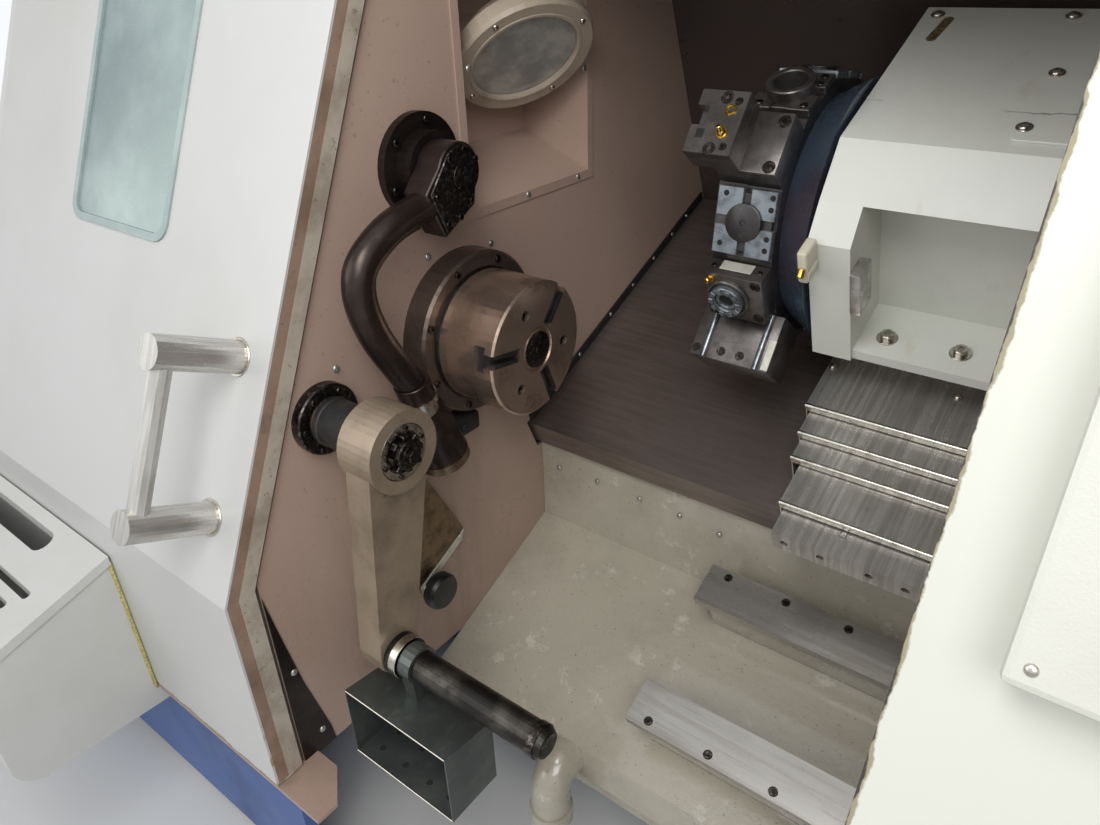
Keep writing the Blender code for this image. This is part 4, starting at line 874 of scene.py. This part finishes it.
# rubber buffer under the nose ring
bm = bmesh.new()
addBox(bm, (wallX + 0.0003, -0.114), (-0.100, -0.018), (-0.166, -0.1335), 0.005)
addDisc(bm, 0.008, 0, 0.004, (-0.114, -0.056, -0.150), toRight)
finishPiece("nose_buffer", bm, machineFrame, "black")
print("chuck dressed")


# ---- tool setter ----

setterFrame = machineFrame @ Matrix.Translation((0, -0.062, 0.268))
setterArm = {"plane": -0.0915, "tube": 0.022,
             "knuckle": roundOutline((0, 0), 0.040, -45, 160, 22) + [(-0.0376, 0.0137), (-0.066, -0.018),
                                                                    (-0.036, -0.082), (0.026, -0.049)],
             "route": [(-0.040, -0.034), (-0.077, -0.041), (-0.116, -0.050), (-0.151, -0.068), (-0.173, -0.088),
                       (-0.181, -0.112), (-0.179, -0.143), (-0.164, -0.189), (-0.133, -0.246), (-0.106, -0.290)],
             "bell": [(0, -0.028), (0.0260, -0.028), (0.0270, -0.027), (0.0270, 0.002), (0.021, 0.010), (0.021, 0.030),
                      (0.026, 0.040), (0.034, 0.055), (0.0385, 0.068), (0.040, 0.082), (0.040, 0.128), (0.037, 0.1325),
                      (0, 0.1325)]}
bell = {"neck": Vector((-0.0915, -0.106, -0.300)), "tip": Vector((-0.0915, -0.062, -0.440))}
bellWay = (bell["tip"] - bell["neck"]).normalized()
bm = bmesh.new()
addPlate(bm, setterArm["knuckle"], wallX + 0.0385, -0.072, soft=0.0016)
line = bending([(setterArm["plane"], y, z) for y, z in setterArm["route"]])
addTube(bm, line, [setterArm["tube"]] * len(line), 36)
addTurned(bm, setterArm["bell"], bell["neck"], bellWay, 48)
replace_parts(finishPiece("setter_arm_smooth", bm, setterFrame, "setter", "tool_setter"), "setter_arm")

setter = {"face": -0.072, "flange": wallX + 0.0132, "flangeBolts": 0.0625,
          "lid": roundOutline((0, 0), 0.036, -45, 160, 16) + [(-0.060, -0.018), (-0.035, -0.075), (0.022, -0.046)],
          "screws": [(0.027, 0.014), (0.006, 0.030), (-0.022, 0.022), (-0.050, -0.022), (-0.034, -0.062),
                     (-0.010, -0.058), (0.014, -0.040)]}
bm = bmesh.new()
addPlate(bm, setter["lid"], setter["face"] + 0.0002, setter["face"] + 0.004, soft=0.0012)
addDisc(bm, 0.017, 0, 0.004, (setter["face"] + 0.004, -0.002, -0.004), toRight)
finishPiece("setter_lid", bm, setterFrame, "screw", "tool_setter")
bm = bmesh.new()
for y, z in setter["screws"]:
    addSocketScrew(bm, (setter["face"] + 0.0039, y, z), toRight, 0.0046, 0.0036)
finishPiece("setter_screws", bm, setterFrame, "screw", "tool_setter")
bm = bmesh.new()
addScrewCircle(bm, setter["flange"], setter["flangeBolts"], range(20, 380, 60), 0.0058, 0.0052)
finishPiece("setter_flange_bolts", bm, setterFrame, "screw")

bm = bmesh.new()
addRing(bm, 0.0290, 0.0205, 0.000, 0.012, bell["neck"], bellWay, 0.0015)
addRing(bm, 0.0240, 0.0205, 0.0125, 0.030, bell["neck"], bellWay, 0.0012)
finishPiece("setter_collar", bm, setterFrame, "bright", "tool_setter")
bm = bmesh.new()
addRing(bm, 0.0412, 0.0360, 0.118, 0.1345, bell["neck"], bellWay, 0.0015, 36)
addDisc(bm, 0.0340, 0.130, 0.1338, bell["neck"], bellWay, 0.001)
finishPiece("setter_bell_rim", bm, setterFrame, "bronze", "tool_setter")
print("tool setter dressed")


# ---- parts catcher ----

catcherFrame = machineFrame @ Matrix.Translation((0, -0.29, -0.03))
catcher = {"recess": 0.0012, "teeth": 8, "plate": 0.0086, "circle": 0.0338, "boss": 0.043}
bm = bmesh.new()
addRing(bm, 0.0392, 0.0285, 0.0, 0.0075, (catcher["recess"], 0, 0), toRight, 0.001, 40)
finishPiece("catcher_bearing", bm, catcherFrame, "bright", "parts_catcher")
bm = bmesh.new()
addDisc(bm, 0.0205, 0.0, 0.020, (catcher["recess"], 0, 0), toRight, 0.0015)
addTeeth(bm, catcher["teeth"], (0.0100, 0.0225, 0), (0.0150, 0.0090, 0.0095), 0.001, Matrix(), "X")
addHexHead(bm, (0.021, 0, 0), toRight, 0.0095, 0.007)
addScrewCircle(bm, catcher["plate"], catcher["circle"], range(15, 375, 60), 0.0032, 0.0026)
finishPiece("catcher_nut", bm, catcherFrame, "screw", "parts_catcher")
bm = bmesh.new()
addRing(bm, 0.0345, 0.0303, wallX + 0.022, -0.0525, (0, 0, 0), toRight, 0.0015, 36)
addRing(bm, 0.0360, 0.0303, -0.131, -0.1218, (0, 0, 0), toRight, 0.0015, 36)
finishPiece("catcher_sleeve", bm, catcherFrame, "black", "parts_catcher", "dark_steel")
bm = bmesh.new()
addRing(bm, 0.052, 0.0325, wallX + 0.0003, wallX + 0.016, (0, 0, 0), toRight, 0.002, 40)
addScrewCircle(bm, wallX + 0.0158, catcher["boss"], range(0, 360, 60), 0.0050, 0.0048)
finishPiece("catcher_boss", bm, catcherFrame, "screw")

rodFrame = catcherFrame @ Matrix.Translation((0, -0.051, -0.315))
bm = bmesh.new()
addRing(bm, 0.0242, 0.0224, 0.250, 0.262, (0, 0, 0), toRight, 0.0006)
addDisc(bm, 0.0165, 0.2699, 0.2712, (0, 0, 0), toRight, 0.0005)
finishPiece("rod_end", bm, rodFrame, "screw", "parts_catcher")
bm = bmesh.new()
addRing(bm, 0.0318, 0.0300, 0.010, 0.0225, (0, 0, 0), toRight, 0.0008)
finishPiece("rod_collar", bm, rodFrame, "bright", "parts_catcher")

# drain holes in the bucket, painted as dark discs of shade, and its folded bright lip
bucketPlace = {"holes": [(x, y) for x in (-0.02, 0.03, 0.08, 0.12) for y in (-0.045, -0.010)]}
bm = bmesh.new()
for x, y in bucketPlace["holes"]:
    addDisc(bm, 0.0048, 0, 0.0004, (x, y, -0.1781), toTop, 0.0001, 16)
for x in (-0.015, 0.035, 0.085, 0.12):
    addDisc(bm, 0.0045, 0, 0.0004, (x, 0.0211, -0.120), toFront, 0.0001, 16)
finishPiece("bucket_holes", bm, rodFrame, "hole", "bucket")
bm = bmesh.new()
for z in (-0.1788, -0.0512):
    addRod(bm, (-0.049, -0.0690, z), (0.149, -0.0690, z), 0.0012, 0.0003, 10)
finishPiece("bucket_lip", bm, rodFrame, "bright", "bucket")
print("parts catcher dressed")


# ---- fittings low on the wall ----

lowPlate = {"outline": [(-0.205, -0.235), (-0.139, -0.208), (-0.093, -0.300), (-0.068, -0.352), (-0.078, -0.374),
                        (-0.180, -0.424), (-0.198, -0.380)], "stand": -0.128}
bm = bmesh.new()
addPlate(bm, lowPlate["outline"], lowPlate["stand"] - 0.004, lowPlate["stand"], soft=0.001)
for y, z in ((-0.165, -0.255), (-0.112, -0.345), (-0.170, -0.355)):
    addRod(bm, (wallX + 0.0003, y, z), (lowPlate["stand"] - 0.004, y, z), 0.008)
finishPiece("low_plate", bm, machineFrame, "bronze")
bm = bmesh.new()
addPlate(bm, [(-0.0685, -0.3525), (-0.0785, -0.3735), (-0.180, -0.4235), (-0.182, -0.408)],
         lowPlate["stand"] + 0.0001, lowPlate["stand"] + 0.0018, soft=0.0004)
for y, z in ((-0.080, -0.3615), (-0.172, -0.4135)):
    addDome(bm, (lowPlate["stand"] + 0.0018, y, z), toRight, 0.0048)
finishPiece("low_plate_strip", bm, machineFrame, "pale")
bm = bmesh.new()
addTurned(bm, [(0, 0.0), (0.020, 0.0), (0.020, 0.022), (0.030, 0.026), (0.033, 0.032), (0.033, 0.044), (0.029, 0.050),
               (0, 0.052)], (wallX + 0.0003, -0.150, -0.430), toRight, 32)
finishPiece("low_knob", bm, machineFrame, "knob")

# dark filler in the corner between the wall and the front opening
corner = {"outline": [(-0.4442, -0.250), (-0.4442, -0.5990), (-0.382, -0.5990), (-0.386, -0.565), (-0.414, -0.440),
                      (-0.432, -0.330)], "screws": [(-0.426, -0.409), (-0.403, -0.557)]}
bm = bmesh.new()
addPlate(bm, corner["outline"], wallX + 0.0003, wallX + 0.0028, soft=0.0006)
finishPiece("corner_filler", bm, machineFrame, "dark")
bm = bmesh.new()
for y, z in corner["screws"]:
    addDome(bm, (wallX + 0.0028, y, z), toRight, 0.0058)
finishPiece("corner_screws", bm, machineFrame, "steel")

# drain elbow out of the pan's front
pan = {"front": -0.38, "floor": -0.52}
elbow = {"x": 0.146, "start": pan["front"] * cos(slant) - pan["floor"] * sin(slant) - 0.0003,
         "top": pan["front"] * sin(slant) + pan["floor"] * cos(slant) - 0.033, "radius": 0.034, "bend": 0.04}
line = [Vector((elbow["x"], elbow["start"], elbow["top"]))]
for a in range(90, 181, 9):
    y = elbow["start"] - 0.010 + elbow["bend"] * cos(radians(a))
    line.append(Vector((elbow["x"], y, elbow["top"] - elbow["bend"] + elbow["bend"] * sin(radians(a)))))
line.append(line[-1] + Vector((0, 0, -0.065)))
bm = bmesh.new()
addTube(bm, line, [elbow["radius"]] * len(line), 40)
collar = [line[-1] + Vector((0, 0, z)) for z in (0.026, -0.001)]
addTube(bm, collar, [elbow["radius"] + 0.0035] * 2, 40)
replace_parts(finishPiece("elbow_smooth", bm, machineFrame, "pan", angle=40), "drain_elbow")
print("wall fittings in")


# ---- work lamp ----

lampAxis = Vector((0.66, -0.29, -0.70)).normalized()
lampAt = Vector((-0.17, 0.20, 0.39))
bm = bmesh.new()
lampTurn = turnTo(lampAt, lampAxis)
for number in range(4):
    angle = radians(45 + 90 * number)
    at = lampTurn @ Vector((0.103 * cos(angle), 0.103 * sin(angle), 0.018))
    addDome(bm, at, lampAxis, 0.0050)
finishPiece("lamp_screws", bm, machineFrame, "bright")
bm = bmesh.new()
addRing(bm, 0.0955, 0.0865, 0.0115, 0.0192, lampAt, lampAxis, 0.0025, 48)
finishPiece("lamp_rim", bm, machineFrame, "lampPaint")
print("lamp dressed")


# ---- covers of the cross slide ----

coverLips = {
    "x_cover_1": ("cross_slide", 0.334, 0.635, 0.185, -0.195), "x_cover_2": ("cover_2", 0.341, 0.628, 0.140, -0.207),
    "x_cover_3": ("cover_3", 0.346, 0.623, 0.100, -0.219), "x_cover_4": ("saddle", 0.360, 0.609, 0.0250, -0.231),
}
for name, (body, left, right, front, top) in coverLips.items():
    bm = bmesh.new()
    start, end = ((x, front + 0.0005, top - 0.0005) for x in (left - 0.001, right + 0.001))
    addRod(bm, start, end, 0.0038, 0.001, 14)
    addBox(bm, (left, right), (front - 0.0022, front - 0.0002), (top - 0.010, top - 0.001), 0.0006, 1)
    finishPiece(name + "_lip", bm, slopeFrame, "bright", body, "brushed_cover")

endHoles = {"places": (0.385, 0.44, 0.51, 0.56), "front": -0.0125, "over": -0.265, "radius": 0.0052}
bm = bmesh.new()
for x in endHoles["places"]:
    addSocketScrew(bm, (x, endHoles["front"], endHoles["over"]), toFront, endHoles["radius"], 0.0045)
finishPiece("end_block_screws", bm, slopeFrame, "screw", "saddle")
print("covers dressed")


# ---- turret housing ----

housing = {"top": 0.1770, "domes": [(0.539, 0.519), (0.524, 0.660), (0.350, 0.658), (0.535, 0.392)],
           "foot": -0.1008, "footBolts": [(0.425, 0.272), (0.525, 0.274)]}
bm = bmesh.new()
for x, up in housing["domes"]:
    lift = 0.0034 if up < 0.4 else 0.0002
    addDisc(bm, 0.0098, 0, 0.0014, (x, up, housing["top"] + lift), toTop, 0.0003, 24)
    addDome(bm, (x, up, housing["top"] + lift + 0.0013), toTop, 0.0078)
for x, up in ((0.342, 0.273), (0.53, 0.275)):
    addDome(bm, (x, up, -0.1948), toTop, 0.0068, 0.9)
finishPiece("housing_screws", bm, slopeFrame, "bright", "cross_slide")
bm = bmesh.new()
for x, up in housing["footBolts"]:
    addDisc(bm, 0.0150, 0, 0.0022, (x, up, housing["foot"]), toTop, 0.0005, 28)
    addSocketScrew(bm, (x, up, housing["foot"] + 0.0021), toTop, 0.0095, 0.0085)
finishPiece("foot_bolts", bm, slopeFrame, "bright", "cross_slide")
bm = bmesh.new()
outline = oblong((0.527, 0.694), (0.366, 0.404), 0.004)
addPlate(bm, outline, housing["top"] + 0.0002, housing["top"] + 0.0034, ("X", "Y"), 0.0006)
finishPiece("housing_plates", bm, slopeFrame, "housing", "cross_slide")
bm = bmesh.new()
addBox(bm, (0.3883, 0.4045), (0.222, 0.263), (-0.018, 0.054), 0.003)
finishPiece("housing_key", bm, slopeFrame, "steel", "cross_slide")
bm = bmesh.new()
addBox(bm, (0.3305, 0.345), (0.192, 0.2278), (0.052, 0.104), 0.004, 3)
addBox(bm, (0.329, 0.3465), (0.194, 0.2270), (0.054, 0.070), 0.003, 2)
finishPiece("nozzle_block", bm, slopeFrame, "ivory", "cross_slide")
bm = bmesh.new()
addRod(bm, (0.338, 0.1925, 0.078), (0.338, 0.1830, 0.070), 0.0052, 0.001, 18)
finishPiece("block_nozzle", bm, slopeFrame, "brass", "cross_slide")
bm = bmesh.new()
slotTurn = Matrix.Translation((0.3655, 0.619, housing["top"])) @ Matrix.Rotation(radians(83), 4, "Z")
small = bmesh.new()
addPlate(small, oblong((-0.034, 0.034), (-0.0072, 0.0072), 0.0070), 0.0001, 0.0005, ("X", "Y"))
pour(bm, small, slotTurn)
finishPiece("housing_slot", bm, slopeFrame, "rust", "cross_slide")
print("housing dressed")


# ---- turret fasteners and holders ----

def stationPiece(name, number, bm, finish, slot=None):
    return finishPiece(name, bm, stationFrame(number), finish, "turret", slot)


flat = 0.187
plugPlate = {"pads": ((0.1905, 0.2290), (0.2400, 0.2785)), "across": ((-0.0470, -0.0060), (0.0060, 0.0470)),
             "face": -0.1982, "plug": 0.0265,
             "screws": [(0.203, 0.037), (0.272, 0.038), (0.2716, 0.022), (0.202, -0.033), (0.271, -0.018),
                        (0.2705, -0.034)]}
for number in (1, 4, 5, 6, 7, 8, 9, 10):
    bm = bmesh.new()
    for x in plugPlate["pads"]:
        for t in plugPlate["across"]:
            addBox(bm, x, (plugPlate["face"], -flat - 0.0002), t, 0.0010, 1)
    stationPiece("plug_pads_%d" % number, number, bm, "padSteel")
    bm = bmesh.new()
    radius = plugPlate["plug"]
    addTurned(bm, [(0, 0), (radius, 0), (radius, 0.0012), (radius - 0.0015, 0.0020), (0.004, 0.0020), (0.003, 0.0005),
                   (0, 0.0005)], (0.2345, -0.2012, 0), toFront, 40)
    stationPiece("plug_%d" % number, number, bm, "oxide")
    # dark rings and discs in the plate: painted shade of its sunken screw holes
    bm = bmesh.new()
    for x, t in plugPlate["screws"]:
        addRing(bm, 0.0040, 0.0030, -0.0004, 0.0004, (x, plugPlate["face"], t), toFront, 0.0001, 20)
        addDisc(bm, 0.0031, -0.0002, 0.0002, (x, plugPlate["face"], t), toFront, 0.0001, 16)
    stationPiece("plug_screws_%d" % number, number, bm, "hole")

# turning holder: bright head over a long base, with the seat of the tool and its wedge
turning = {"face": -0.277, "floor": -0.257, "under": -0.232, "base": -0.2345,
           "outline": [(0.162, -0.052), (0.231, -0.052), (0.231, 0.037), (0.162, 0.037), (0.162, 0.014), (0.180, 0.014),
                       (0.180, -0.013), (0.162, -0.013)],
           "screws": [(0.2008, 0.0267, 0.0072), (0.1998, -0.0445, 0.0072)],
           "sets": [(0.219, 0.0225), (0.218, -0.040)], "baseScrews": [(0.270, 0.0215), (0.270, -0.042)]}
bm = bmesh.new()
addPlate(bm, turning["outline"], turning["face"], turning["floor"], ("X", "Z"), 0.0008)
addBox(bm, (0.162, 0.231), (turning["floor"] - 0.0010, turning["under"]), (-0.052, 0.037), 0.0010, 1)
addBox(bm, (0.228, 0.281), (turning["base"], -flat - 0.0004), (-0.052, 0.034), 0.0014, 2)
addBox(bm, (0.190, 0.230), (-0.234, -flat - 0.0004), (-0.050, 0.034), 0.0014, 2)
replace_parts(stationPiece("turning_block", 2, bm, "holder"), "turning_holder")
bm = bmesh.new()
for x, t, radius in turning["screws"]:
    addRingedScrew(bm, (x, turning["face"], t), toFront, (radius * 1.22, radius * 0.98, 0.0006),
                   (radius * 0.9, 0.0022), 28)
for x, t in turning["sets"]:
    addSocketScrew(bm, (x, turning["face"], t), toFront, 0.0056, 0.0009)
for x, t in turning["baseScrews"]:
    addRingedScrew(bm, (x, turning["base"], t), toFront, (0.0088, 0.0070, 0.0008), (0.0068, 0.0024), 28)
stationPiece("turning_screws", 2, bm, "screw")
bm = bmesh.new()
addBox(bm, (0.1665, 0.1795), (turning["floor"] - 0.0175, turning["floor"] - 0.0005), (-0.0315, -0.0145), 0.0008, 1)
stationPiece("turning_wedge", 2, bm, "pale")
# the wedge's slot: a dark sheet of painted shade
bm = bmesh.new()
addBox(bm, (0.1735, 0.1845), (turning["face"] - 0.0004, turning["face"] + 0.0002), (-0.0310, -0.0185), 0.0001, 1)
stationPiece("turning_wedge_slot", 2, bm, "hole")
bm = bmesh.new()
addRing(bm, 0.0078, 0.0042, 0, 0.0034, (0.212, turning["face"], 0.0097), toFront, 0.0010, 28)
addDisc(bm, 0.0080, 0, 0.0014, (0.210, turning["face"], -0.022), toFront, 0.0006)
addDome(bm, (0.210, turning["face"] - 0.0013, -0.022), toFront, 0.0062, 1.0)
addRod(bm, (0.210, turning["face"] - 0.0040, -0.022), (0.208, turning["face"] - 0.0120, -0.018), 0.0042, 0.0008, 16)
stationPiece("turning_nozzles", 2, bm, "brass")

# drill holder: a low plate round a deep bore
drill = {"face": -0.1982, "bore": 0.024}
bm = bmesh.new()
for x in ((0.190, 0.222), (0.246, 0.279)):
    for t in ((-0.046, -0.010), (0.010, 0.046)):
        addBox(bm, x, (drill["face"], -flat - 0.0004), t, 0.0010, 1)
addBox(bm, (0.200, 0.270), (drill["face"] + 0.0030, -flat - 0.0004), (-0.040, 0.040), 0.0010, 1)
addRing(bm, 0.0340, drill["bore"], -0.0060, 0.0150, (0.2345, drill["face"], 0), toFront, 0.0015, 44)
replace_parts(stationPiece("drill_block", 3, bm, "holder"), "drill_holder")
# a dark disc down the bore: painted shade of its depth
bm = bmesh.new()
addDisc(bm, drill["bore"] + 0.0002, -0.0058, 0.0020, (0.2345, drill["face"], 0), toFront, 0.0004, 36)
stationPiece("drill_bore", 3, bm, "hole")
bm = bmesh.new()
for x, t in ((0.203, 0.036), (0.268, 0.036), (0.268, 0.018), (0.203, -0.036), (0.268, -0.036)):
    addSocketScrew(bm, (x, drill["face"] + 0.0006, t), toFront, 0.0056, 0.0026)
stationPiece("drill_screws", 3, bm, "screw")
bm = bmesh.new()
addDome(bm, (0.216, drill["face"], 0.040), toFront, 0.0046, 1.0)
stationPiece("drill_nozzle", 3, bm, "brass")

# boring holder: a block with a ring nut round the bore
boring = {"face": -0.221, "nut": -0.234, "middle": 0.224}
bm = bmesh.new()
addBox(bm, (0.188, 0.278), (boring["face"], -flat - 0.0004), (-0.042, 0.040), 0.0022, 2)
addRing(bm, 0.0330, 0.0270, -0.0010, 0.0060, (boring["middle"], boring["face"], 0), toFront, 0.0020, 40)
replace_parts(stationPiece("boring_block", 0, bm, "holder"), "boring_holder")
bm = bmesh.new()
addRing(bm, 0.0262, 0.0165, -0.0125, 0.0, (boring["middle"], boring["nut"], 0), toFront, 0.0012, 40)
nutPlace = Matrix.Translation((boring["middle"], boring["nut"] - 0.0002, 0))
addTeeth(bm, 10, (0.0215, -0.0015, 0), (0.0078, 0.0032, 0.0086), 0.0007, nutPlace, "Y")
addRing(bm, 0.0160, 0.0110, -0.0100, -0.0030, (boring["middle"], boring["nut"], 0), toFront, 0.0008, 28)
stationPiece("boring_ring", 0, bm, "padSteel")
# a dark disc in the nut's bore: painted shade of its inside
bm = bmesh.new()
addDisc(bm, 0.0112, -0.0128, -0.0080, (boring["middle"], boring["nut"], 0), toFront, 0.0004, 28)
stationPiece("boring_bore", 0, bm, "hole")
bm = bmesh.new()
for x, t in ((0.268, 0.0305), (0.268, -0.031), (0.199, -0.032)):
    addRingedScrew(bm, (x, boring["face"], t), toFront, (0.0082, 0.0064, 0.0006), (0.0060, 0.0024))
for x in (0.197, 0.268):
    addSocketScrew(bm, (x, -0.203, 0.0398), toTop, 0.0042, 0.0020)
stationPiece("boring_screws", 0, bm, "screw")
bm = bmesh.new()
addDisc(bm, 0.0066, 0, 0.0024, (0.1985, boring["face"], 0.0295), toFront, 0.0006)
addRod(bm, (0.1985, boring["face"] - 0.0022, 0.0295), (0.1965, boring["face"] - 0.0110, 0.0335), 0.0042, 0.0010, 16)
stationPiece("boring_nozzle", 0, bm, "brass")
bm = bmesh.new()
addBox(bm, (0.207, 0.256), (-0.2080, -0.1900), (0.0399, 0.0406), 0.0003, 1)
stationPiece("boring_plate", 0, bm, "pale")

# grooving holder: a tall block, two round ribs up its side
grooving = {"x": (0.163, 0.292), "top": -0.276, "side": 0.044, "ribs": (0.187, 0.273),
            "screws": [(0.172, -0.2635), (0.213, -0.261), (0.244, -0.261)]}
bm = bmesh.new()
addBox(bm, grooving["x"], (grooving["top"], -flat - 0.0004), (-0.036, grooving["side"]), 0.0020, 2)
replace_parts(stationPiece("grooving_block", 11, bm, "holder"), "grooving_holder")
bm = bmesh.new()
for x in grooving["ribs"]:
    start, end = ((x, y, grooving["side"] + 0.0010) for y in (grooving["top"] - 0.0002, -flat - 0.0010))
    addRod(bm, start, end, 0.0050, 0.0012, 20)
stationPiece("grooving_ribs", 11, bm, "padSteel", "ground_steel")
bm = bmesh.new()
addBox(bm, (0.281, 0.2925), (-0.273, -0.225), (grooving["side"] - 0.0010, grooving["side"] + 0.0012), 0.0006, 1)
stationPiece("grooving_pad", 11, bm, "pale")
bm = bmesh.new()
for x, out in grooving["screws"]:
    addRingedScrew(bm, (x, out, grooving["side"]), toTop, (0.0072, 0.0056, 0.0006), (0.0054, 0.0022))
stationPiece("grooving_screws", 11, bm, "screw")

# ring nut and key on the turret's left face
headFace = {"left": 0.1768, "circle": 0.082}
bm = bmesh.new()
addRing(bm, 0.062, 0.040, 0, 0.005, (headFace["left"], 0, 0), (-1, 0, 0), 0.001, 48)
addScrewCircle(bm, headFace["left"], headFace["circle"], range(0, 360, 60), 0.0065, 0.005, (-1, 0, 0))
addDisc(bm, 0.034, 0, 0.003, (headFace["left"], 0, 0), (-1, 0, 0), 0.001, 36)
finishPiece("turret_hub", bm, turretFrame, "oxide", "turret")
print("turret dressed")


# ---- door, shelf and control cabinet ----

doorEdge = {"x": -0.146, "front": -0.50, "fold": -0.226, "top": 0.656, "low": -0.586}


def edgeBand(near, far):
    # a strip on the door's right return, between two depths behind its outer plane
    rise = (doorEdge["top"] - doorEdge["fold"]) * sin(lean) / cos(lean)
    near, far = doorEdge["front"] + near, doorEdge["front"] + far
    return [(near, doorEdge["low"]), (near, doorEdge["fold"]), (near + rise, doorEdge["top"]),
            (far + rise, doorEdge["top"]), (far, doorEdge["fold"]), (far, doorEdge["low"])]


# a brown strip on the door's return: painted shade over its cream edge
bm = bmesh.new()
addPlate(bm, edgeBand(0.0035, 0.0215), doorEdge["x"] + 0.00005, doorEdge["x"] + 0.0003)
finishPiece("door_return_shade_band", bm, machineFrame, "edgeBand", "door")
bm = bmesh.new()
addPlate(bm, edgeBand(0.0220, 0.0465), doorEdge["x"] + 0.00005, doorEdge["x"] + 0.0004)
finishPiece("door_edge_return", bm, machineFrame, "edgePale", "door")

bm = bmesh.new()
for z in (-0.128, 0.0741):
    foot = Vector((-0.211, -0.50 + (z + 0.226) * sin(lean) / cos(lean), z))
    addRing(bm, 0.0262, 0.0222, 0.0001, 0.0022, foot, (0, -cos(lean), sin(lean)), 0.0006, 36)
finishPiece("handle_washers", bm, machineFrame, "bright", "door", "handle_chrome")

# electrical cabinet behind: two doors with hinges, locks and cooling slots
cabinet = {"x": (-0.85, 0.80), "y": (0.8603, 1.1000), "z": (-0.88, 0.62), "back": 1.1040}
bm = bmesh.new()
addBox(bm, cabinet["x"], cabinet["y"], cabinet["z"], 0.005)
for x in ((-0.838, -0.029), (-0.021, 0.788)):
    addBox(bm, x, (cabinet["y"][1] - 0.001, cabinet["back"]), (-0.868, 0.608), 0.0018)
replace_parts(finishPiece("cabinet_doors", bm, machineFrame, "white"), "electrical_cabinet")
bm = bmesh.new()
addBox(bm, (wallX + 0.001, 0.6360), (0.8565, 0.8595), (0.560, 0.6765), 0.0006, 1)
finishPiece("back_strip", bm, machineFrame, "white")
# cooling slots as dark sheets: painted shade in the openings
bm = bmesh.new()
for x in (-0.43, 0.38):
    for row in range(8):
        z = -0.74 + row * 0.022
        outline = oblong((x - 0.11, x + 0.11), (z - 0.004, z + 0.004), 0.0039, 4)
        addPlate(bm, outline, cabinet["back"], cabinet["back"] + 0.0003, ("X", "Z"))
finishPiece("cabinet_slots", bm, machineFrame, "hole", "machine", "black_rubber")
bm = bmesh.new()
for x in (-0.842, 0.792):
    for z in (-0.66, -0.12, 0.42):
        addRod(bm, (x, 1.0965, z - 0.035), (x, 1.0965, z + 0.035), 0.0062, 0.001, 18)
for x in (-0.055, 0.005):
    for z in (-0.30, 0.12):
        addDisc(bm, 0.0125, 0, 0.0008, (x, cabinet["back"], z), (0, 1, 0), 0.0003, 28)
finishPiece("cabinet_hinges", bm, machineFrame, "bright", "machine", "handle_chrome")

# control cabinet: screen, frame, plain keys and collars
panel = {"face": -0.050, "screen": ((0.785, 1.095), (0.655, 0.865)),
         "corners": [(x, z) for x in (0.716, 1.134) for z in (0.356, 0.904)],
         "buttons": [(0.79, 0.024), (0.89, 0.016), (0.99, 0.022)], "row": 0.42}
(left, right), (low, high) = panel["screen"]
bm = bmesh.new()
addBox(bm, (left, right), (-0.0476, -0.0462), (low, high), 0.0006)
finishPiece("screen_pane", bm, leaningFrame, "screen")
bm = bmesh.new()
across, upright = (left - 0.013, right + 0.013), (low - 0.014, high + 0.014)
for x, z in ((across, (high + 0.0055, high + 0.014)), (across, (low - 0.014, low - 0.0055)),
             ((left - 0.014, left - 0.0055), upright), ((right + 0.0055, right + 0.014), upright)):
    addBox(bm, x, (panel["face"] - 0.0025, panel["face"] - 0.0001), z, 0.001)
for x, radius in panel["buttons"]:
    addRing(bm, radius + 0.004, radius, 0.0001, 0.0035, (x, panel["face"], panel["row"]), toFront, 0.0008, 40)
finishPiece("screen_frame", bm, leaningFrame, "knob")
bm = bmesh.new()
for column in range(9):
    for row in range(3):
        x, z = 0.806 + column * 0.0335, 0.548 + row * 0.030
        depth = (panel["face"] - 0.0032, panel["face"] - 0.0001)
        addBox(bm, (x - 0.0125, x + 0.0125), depth, (z - 0.0105, z + 0.0105), 0.0016)
finishPiece("panel_keys", bm, leaningFrame, "grey")
bm = bmesh.new()
for x, z in panel["corners"]:
    addDome(bm, (x, panel["face"], z), toFront, 0.0046)
finishPiece("panel_screws", bm, leaningFrame, "bright")

bm = bmesh.new()
addBox(bm, (-0.5035, -0.4968), (-0.5068, -0.5008), (-0.598, -0.312), 0.0018)
finishPiece("shelf_foam", bm, machineFrame, "foam")
print("door dressed")
